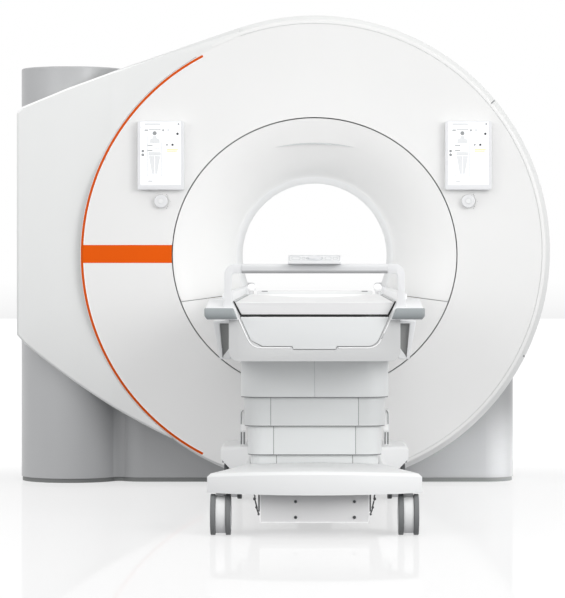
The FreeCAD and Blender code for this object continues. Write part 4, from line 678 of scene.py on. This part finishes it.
# The rail ends wear the glowing white: painted light against the shade in the bore mouth.
for side, sign in SIDES:
    mesh_object(
        f"rail_cap_{side}", *lathe(RAIL_CAP, "y", (sign * 236, 0, 735.5), 32),
        "gantry", "bore_grey", "bright_edge",
    )


# ---------------------------------------------------------------- knobs: ring lines and small marks

for side, sign in SIDES:
    across = sign * DISPLAY_X
    root, crest = FACE - 17.6, FACE - 18.5
    # The two dark rings stand partly for the knob's ring lines and partly for painted shade round
    # its rim.
    rings = [
        lathe(
            [(root, low), (crest, low), (crest, high), (root, high)],
            "y", (across, 0, KNOB_Z), 72,
        )
        for low, high in ((21.8, 25.4), (10.4, 12.2))
    ]
    mesh_object(f"knob_rings_{side}", *merged(rings), f"dial_{side}", "knob_silver", "line_grey")
    marks = []
    for step in range(-4, 5):
        turn = math.radians(step * 13)
        near, far = 30.0, 33.5 if step % 4 else 35.5
        marks.append(swept([
            (across + r * math.cos(turn), FACE - 0.3, KNOB_Z + r * math.sin(turn))
            for r in (near, far)
        ], 0.7, 6))
    mesh_object(f"knob_marks_{side}", *merged(marks), "gantry", "cover_white", "line_grey")


# ---------------------------------------------------------------- handle panel

PANEL_FRONT, PANEL_RUN, PANEL_RISE = (-2892, 834), 58, 21  # (y, z) of the front edge of its top
PANEL_SLOPE = 61.7  # length of the sloping top
PANEL_NORMAL, PANEL_LIFT = (-0.34, 0.94), 0.5  # (y, z) of its normal, and how far lines stand off


def on_panel(x, along):
    """A point just above the sloping top, from its front edge (0) to its back edge (1)."""
    y = PANEL_FRONT[0] + PANEL_RUN * along + PANEL_NORMAL[0] * PANEL_LIFT
    return x, y, PANEL_FRONT[1] + PANEL_RISE * along + PANEL_NORMAL[1] * PANEL_LIFT


def panel_line(outline, radius=0.55):
    loop = [on_panel(x, along) for x, along in outline]
    return swept(loop + [loop[0]], radius, 6)


def panel_rect(x0, x1, low, high, corner):
    outline = rounded_rect(x0, x1, low * PANEL_SLOPE, high * PANEL_SLOPE, corner, 4)
    return [(x, v / PANEL_SLOPE) for x, v in outline]


OVAL_WIDE, OVAL_DEEP = 25, 17  # half sizes of the ring around the button
turns = [i * math.pi / 20 for i in range(40)]
oval = [(OVAL_WIDE * math.cos(a), 0.5 + OVAL_DEEP / PANEL_SLOPE * math.sin(a)) for a in turns]
mesh_object("panel_lines", *merged([
    panel_line(panel_rect(-76, 76, 0.12, 0.88, 6)),
    panel_line(panel_rect(-69, -44, 0.30, 0.70, 4)),
    panel_line(panel_rect(-38, -29, 0.36, 0.64, 3)),
    panel_line(panel_rect(32, 50, 0.30, 0.70, 4)),
    panel_line(panel_rect(56, 69, 0.36, 0.64, 3)),
    panel_line(oval, 0.7),
]), "lift", "knob_cap", "mark_grey")
mesh_object(
    "panel_foot", *slab(rect(-76, 76, 826.4, 830.8), "y", -2865.5, -2852), "lift", "knob_cap",
)


# ---------------------------------------------------------------- housing: hollow by the tower

HOLLOW_CENTRE, HOLLOW_RADIUS = (-736.7, -655.2), 45
HOLLOW_BACK = [(-706, -590), (-742, -560), (-775, -600)]  # inside the tower and the body


def hollow(grow, low, high):
    """A concave strip between the two round corners, seen from above."""
    radius = HOLLOW_RADIUS + grow
    turns = [math.radians(143.5 - 89.4 * i / 18) for i in range(19)]
    arc = [
        (HOLLOW_CENTRE[0] + radius * math.cos(a), HOLLOW_CENTRE[1] + radius * math.sin(a))
        for a in turns
    ]
    return slab(arc + HOLLOW_BACK, "z", low, high)


# The hollow wears painted shade that darkens into its crease.
mesh_object("housing_hollow", *hollow(0, 16.5, 430), "gantry", "housing_grey", "hollow_grey")
mesh_object("plinth_hollow", *hollow(9, 0.5, 16.5), "gantry", "plinth_dark")


# ---------------------------------------------------------------- table: seams, beads and slots

for side, sign in SIDES:
    seam = rect(sign * 244.9, sign * 248.3, 711.0, 712.2)
    mesh_object(
        f"table_seam_{side}", *slab(seam, "y", -2824, -818), "lift", "tub_white", "mark_grey",
    )


def flap_bead(sign):
    """A small moulded bead on the tub along one side of the flap; its white glows a little, a
    painted highlight.
    """
    path = [
        (233.0, 663.0), (224.0, 643.0), (212.0, 616.5), (203.5, 598.0), (196.5, 586.5),
        (187.0, 578.0), (175.0, 573.2), (160.0, 571.8), (120.0, 571.6), (74.0, 571.6),
    ]
    return swept([(sign * x, -2830.3, z) for x, z in path], 1.6)


mesh_object(
    "flap_bead", *merged([flap_bead(-1), flap_bead(1)]), "lift", "tub_white", "bright_edge",
)
# A bead along the flap's top edge, in the glowing white: a painted highlight.
mesh_object(
    "flap_top_bead", *swept([(x, -2829.9, 664.2) for x in (-224, -75, 75, 224)], 1.5),
    "flap", "tub_white", "bright_edge",
)
gap = [
    (-248.4, 714), (-226.8, 669.3), (226.8, 669.3), (248.4, 714),
    (244.4, 714), (223.0, 673.8), (-223.0, 673.8), (-244.4, 714),
]
mesh_object(
    "table_front_gap", *slab(gap, "y", -2827.2, -2823), "lift", "tub_white", "gap_dark",
)
# Dark liners in the head slots: painted shade inside them.
HEAD_SLOTS = (-185, 185)
slots = [
    slab(rounded_rect(x - 11, x + 11, 721.2, 725.0, 1.2, 3), "y", -883.2, -880)
    for x in HEAD_SLOTS
]
mesh_object("head_slots", *merged(slots), "table", "table_white", "line_grey")
plugs = [
    slab(rounded_rect(x - 13, x + 13, 712.5, 721.0, 1.2, 3), "y", -882.7, -876)
    for x in HEAD_SLOTS
]
mesh_object("head_slot_plugs", *merged(plugs), "table", "table_white", "socket_white")


# ---------------------------------------------------------------- side brackets under the handle

for side, sign in SIDES:
    sill = [(sign * x, z) for x, z in ((264, 568), (284, 541), (284, 534), (262, 534))]
    mesh_object(f"bracket_sill_{side}", *slab(sill, "y", -2639.5, -2628), "lift", "skirt_white")
    floor_strip = [(sign * x, z) for x, z in ((263, 574), (288, 574), (284, 535), (263, 535))]
    mesh_object(f"bracket_floor_{side}", *slab(floor_strip, "y", -2627, -2624), "lift", "core_dark")


# ---------------------------------------------------------------- column: painted shade under the covers, panel joints

COLUMN_HALF, COLUMN_FRONT, COLUMN_BACK, COLUMN_CORNER = 201.5, -2520, -1780, 40
COLUMN_STEP = 10.5  # each cover is larger all round than the one below it by this much
COVERS = ((1, 409.3, 531.0), (2, 318.6, 435.3), (3, 227.6, 344.6), (4, 152.0, 253.6))
UNDERSIDE_SHADE_HEIGHT = 2.6


def column_plan(out, grow):
    """The plan of a cover that stands out from the lowest one, grown all round."""
    return rounded_rect(
        -COLUMN_HALF - out - grow, COLUMN_HALF + out + grow,
        COLUMN_FRONT - out - grow, COLUMN_BACK + out + grow, COLUMN_CORNER + out + grow, 10,
    )


def column_underside_shade(out, bottom):
    """A thin dark ring under the lower edge of a cover: painted shade where it overhangs the cover
    below.
    """
    outer, inner = column_plan(out, -0.8), column_plan(out, -9.2)
    under = bottom - UNDERSIDE_SHADE_HEIGHT
    loops = ((outer, under), (outer, bottom), (inner, bottom), (inner, under))
    count = len(outer)
    faces = [
        (k * count + i, k * count + (i + 1) % count,
         (k + 1) % 4 * count + (i + 1) % count, (k + 1) % 4 * count + i)
        for k in range(4) for i in range(count)
    ]
    return [(x, y, z) for loop, z in loops for x, y in loop], faces


for number, bottom, top in COVERS:
    out = (4 - number) * COLUMN_STEP
    body, slot = BODY_OF[f"column_cover_{number}"], SLOT_OF[f"column_cover_{number}"]
    if number < 4:
        mesh_object(f"column_lip_{number}", *column_underside_shade(out, bottom), body, slot, "edge_grey")
    places = [0.0] if number == 1 else [sign * (138 - 9 * (number - 2)) for sign in (-1, 1)]
    joints = [
        slab(rect(x - 0.75, x + 0.75, bottom + 1, top - 10), "y", -2519.6 - out, -2518.6 - out)
        for x in places
    ]
    line = "mark_grey" if number == 1 else "edge_grey"
    mesh_object(f"column_joints_{number}", *merged(joints), body, slot, line)


# ---------------------------------------------------------------- posts behind the column

for side, sign in SIDES:
    edge = [(256.6, 266), (256.6, 300), (255.6, 306.5), (252.8, 311.0), (249.0, 313.5)]
    lines = [swept([(sign * x, -1500.2, z) for x, z in edge], 1.4, 6)]
    for x in (256.2, 246.4):
        strip = rect(sign * (x - 1.8), sign * (x + 1.8), 195.5, 237.5)
        lines.append(slab(strip, "y", -1499.6, -1497))
    mesh_object(f"post_lines_{side}", *merged(lines), "trolley", "skirt_white", "edge_grey")
    low, high = sorted((sign * 255, sign * 240))
    block = rounded_rect(low, high, 243.5, 264.5, 2.0, 3)
    # The small block wears the glowing white: painted light.
    mesh_object(
        f"post_block_{side}", *slab(block, "y", -1507, -1499),
        "trolley", "skirt_white", "bright_edge", edge=1.0,
    )


# ---------------------------------------------------------------- casters and front plate

TRACK, AXLE_Z, HUB_HALF = 286.6, 62.5, 31.2
HUB_PROFILE = (  # how far each point stands out from the wheel's face, and its radius
    (0.0, 0.0), (0.0, 46.0), (0.9, 45.0), (0.9, 38.0),
    (0.3, 36.5), (0.3, 14.0), (1.4, 12.5), (1.4, 0.0),
)
for end, axle_y in (("front", -2807.0), ("rear", -1435.0)):
    for side, sign in SIDES:
        name = f"{end}_{side}"
        caps = []
        for face in (-1, 1):
            edge = sign * TRACK + face * HUB_HALF
            profile = [(edge + face * out, radius) for out, radius in HUB_PROFILE]
            caps.append(lathe(profile, "x", (0, axle_y, AXLE_Z), 48))
        mesh_object(
            f"hub_caps_{name}", *merged(caps), BODY_OF[f"wheels_{name}"], "caster_grey", "hub_grey",
        )

plate_edge = [
    slab(rounded_rect(x0, x1, z0, z1, 0.8, 2), "y", -2836.2, -2834.9)
    for x0, x1, z0, z1 in (
        (-167.2, -163.6, 40.0, 131.0), (163.6, 167.2, 40.0, 131.0), (-167.2, 167.2, 38.8, 42.0),
    )
]
# The plate's border in the glowing white: a painted highlight along its edges.
mesh_object("plate_border", *merged(plate_edge), "trolley", "plate_metal", "bright_edge")
# Dark hexagons in the screw heads: painted shade in their sockets.
sockets = [
    slab(circle(x, z, 2.6, 6), "y", -2837.8, -2837.4) for x in (-58, 121) for z in (56, 104)
]
mesh_object("screw_sockets", *merged(sockets), "trolley", "screw_steel", "gap_dark")

BRAKE_BAR = (
    (216, -2682, 118), (198, -2682, 116.5), (187, -2690, 115), (183.5, -2750, 113.5),
    (183.5, -2806, 110), (180.5, -2806, 101), (177.5, -2806, 88), (175.5, -2806, 76),
    (170, -2806, 62),
)
BRAKE_EYES = ((183.5, 110, 4.5), (177.5, 84, 4.0), (171, 63, 3.5))
BRAKE_LUGS = (((228, 239, 102), (-2686, -2668)), ((225, 265, 124), (-2682, -2662)))
linkage = []
for sign in (-1, 1):
    linkage.append(swept([(sign * x, y, z) for x, y, z in BRAKE_BAR], 2.2))
    for x, z, radius in BRAKE_EYES:
        linkage.append(slab(circle(sign * x, z, radius, 16), "y", -2811, -2803))
    for (x0, x1, z0), (y0, y1) in BRAKE_LUGS:
        linkage.append(slab(rect(sign * x0, sign * x1, z0, 131), "y", y0, y1))
mesh_object("brake_linkage", *merged(linkage), "trolley", "lever_dark")


# ---------------------------------------------------------------- floor, light and camera (metres)


def floor_finish():
    """Pale studio paint: mostly even, with a faint clear reflection."""
    own_light, shine = 1.16, 0.16
    material = bpy.data.materials.new("floor_white")
    material.use_nodes = True
    nodes, links = material.node_tree.nodes, material.node_tree.links
    nodes.remove(nodes["Principled BSDF"])
    plain, mirror, own = (
        nodes.new(f"ShaderNode{kind}") for kind in ("BsdfDiffuse", "BsdfGlossy", "Emission")
    )
    plain.inputs["Color"].default_value = (0.93, 0.93, 0.93, 1)
    mirror.inputs["Roughness"].default_value = 0.035
    own.inputs["Color"].default_value = (1, 1, 1, 1)
    own.inputs["Strength"].default_value = own_light
    even, polish = nodes.new("ShaderNodeMixShader"), nodes.new("ShaderNodeMixShader")
    where, split, fade = (
        nodes.new(f"ShaderNode{kind}") for kind in ("TexCoord", "SeparateXYZ", "MapRange")
    )
    fade.interpolation_type = "SMOOTHSTEP"
    for socket, value in (
        ("From Min", -0.7), ("From Max", 0.9), ("To Min", 0.55), ("To Max", 0.97),
    ):
        fade.inputs[socket].default_value = value
    links.new(where.outputs["Object"], split.inputs["Vector"])
    links.new(split.outputs["Y"], fade.inputs["Value"])
    links.new(fade.outputs["Result"], even.inputs["Fac"])
    polish.inputs["Fac"].default_value = shine
    links.new(plain.outputs[0], even.inputs[1])
    links.new(own.outputs[0], even.inputs[2])
    links.new(even.outputs[0], polish.inputs[1])
    links.new(mirror.outputs[0], polish.inputs[2])
    links.new(polish.outputs[0], nodes["Material Output"].inputs["Surface"])
    return material


FLOOR_HALF = 30
floor_mesh = bpy.data.meshes.new("floor")
floor_mesh.from_pydata([
    (x * FLOOR_HALF, y * FLOOR_HALF, 0) for x, y in ((-1, -1), (1, -1), (1, 1), (-1, 1))
], [], [(0, 1, 2, 3)])
floor = bpy.data.objects.new("floor", floor_mesh)
bpy.context.scene.collection.objects.link(floor)
floor_mesh.materials.append(floor_finish())
floor.visible_diffuse = False

# The sky is grey below the horizon, white above it and dimmer overhead.
world = bpy.data.worlds.new("studio")
bpy.context.scene.world = world
world.use_nodes = True
sky_nodes, sky_links = world.node_tree.nodes, world.node_tree.links
where = sky_nodes.new("ShaderNodeTexCoord")
split = sky_nodes.new("ShaderNodeSeparateXYZ")
ramp = sky_nodes.new("ShaderNodeValToRGB")
first, second = ramp.color_ramp.elements[0], ramp.color_ramp.elements[1]
first.position, first.color = 0.46, (0.26, 0.26, 0.27, 1)
second.position, second.color = 0.495, (1, 1, 1, 1)
for place, tone in ((0.66, 1.0), (0.74, 0.65)):
    ramp.color_ramp.elements.new(place).color = (tone, tone, tone, 1)
lift = sky_nodes.new("ShaderNodeMath")
lift.operation = "MULTIPLY_ADD"
lift.inputs[1].default_value = lift.inputs[2].default_value = 0.5
sky_links.new(where.outputs["Generated"], split.inputs["Vector"])
sky_links.new(split.outputs["Z"], lift.inputs[0])
sky_links.new(lift.outputs["Value"], ramp.inputs["Fac"])
sky_links.new(ramp.outputs["Color"], sky_nodes["Background"].inputs["Color"])


def softbox(name, place, target, width, height, power, seen=True, spread=180):
    """A lamp with a rectangular face, turned to its target; power is in watts."""
    light = bpy.data.lights.new(name, "AREA")
    light.shape = "RECTANGLE"
    light.size, light.size_y, light.energy = width, height, power
    light.spread = math.radians(spread)
    obj = bpy.data.objects.new(name, light)
    bpy.context.scene.collection.objects.link(obj)
    obj.location = place
    obj.rotation_mode = "QUATERNION"
    obj.rotation_quaternion = (Vector(target) - Vector(place)).to_track_quat("-Z", "Y")
    obj.visible_camera = obj.visible_glossy = seen


softbox("top_box", (0.6, -3.2, 5.0), (0.1, -1.4, 0.6), 4.0, 4.0, 27)
softbox("key_box", (5.0, -8.0, 3.2), (0.0, -0.9, 1.0), 3.5, 3.5, 190)
softbox("fill_box", (-5.0, -6.0, 2.6), (0.0, -0.9, 0.9), 3.0, 3.0, 46)
softbox("front_box", (0.0, -9.0, 4.5), (0.0, -0.9, 0.9), 3.0, 3.0, 20)
softbox("left_side_box", (-5.5, -1.6, 0.9), (-0.9, -0.4, 0.7), 1.6, 2.4, 14, seen=False)
softbox("bore_glow", (0.0, -1.15, 0.76), (0.0, -0.75, 1.30), 0.36, 0.7, 0.31, seen=False)
softbox("bore_deep", (0.0, -0.1, 0.74), (0.0, -0.1, 1.2), 0.36, 1.2, 0.75, seen=False)
softbox("side_box", (4.6, -3.4, 0.9), (0.7, -0.6, 0.4), 1.6, 1.2, 14, seen=False)
softbox("low_box", (2.6, -2.0, 0.08), (0.66, -0.55, 0.07), 0.3, 0.08, 0.33, seen=False, spread=12)

camera_data = bpy.data.cameras.new("camera")
camera = bpy.data.objects.new("camera", camera_data)
bpy.context.scene.collection.objects.link(camera)
camera.location = (0, -11.9, 0.8427)
camera.rotation_euler = (math.radians(90), 0, 0)
camera_data.lens = 179.2
camera_data.sensor_width = 36
camera_data.shift_x = -0.0537
camera_data.shift_y = -0.0669
camera_data.clip_end = 200
bpy.context.scene.camera = camera
bpy.context.scene.view_settings.view_transform = "Standard"
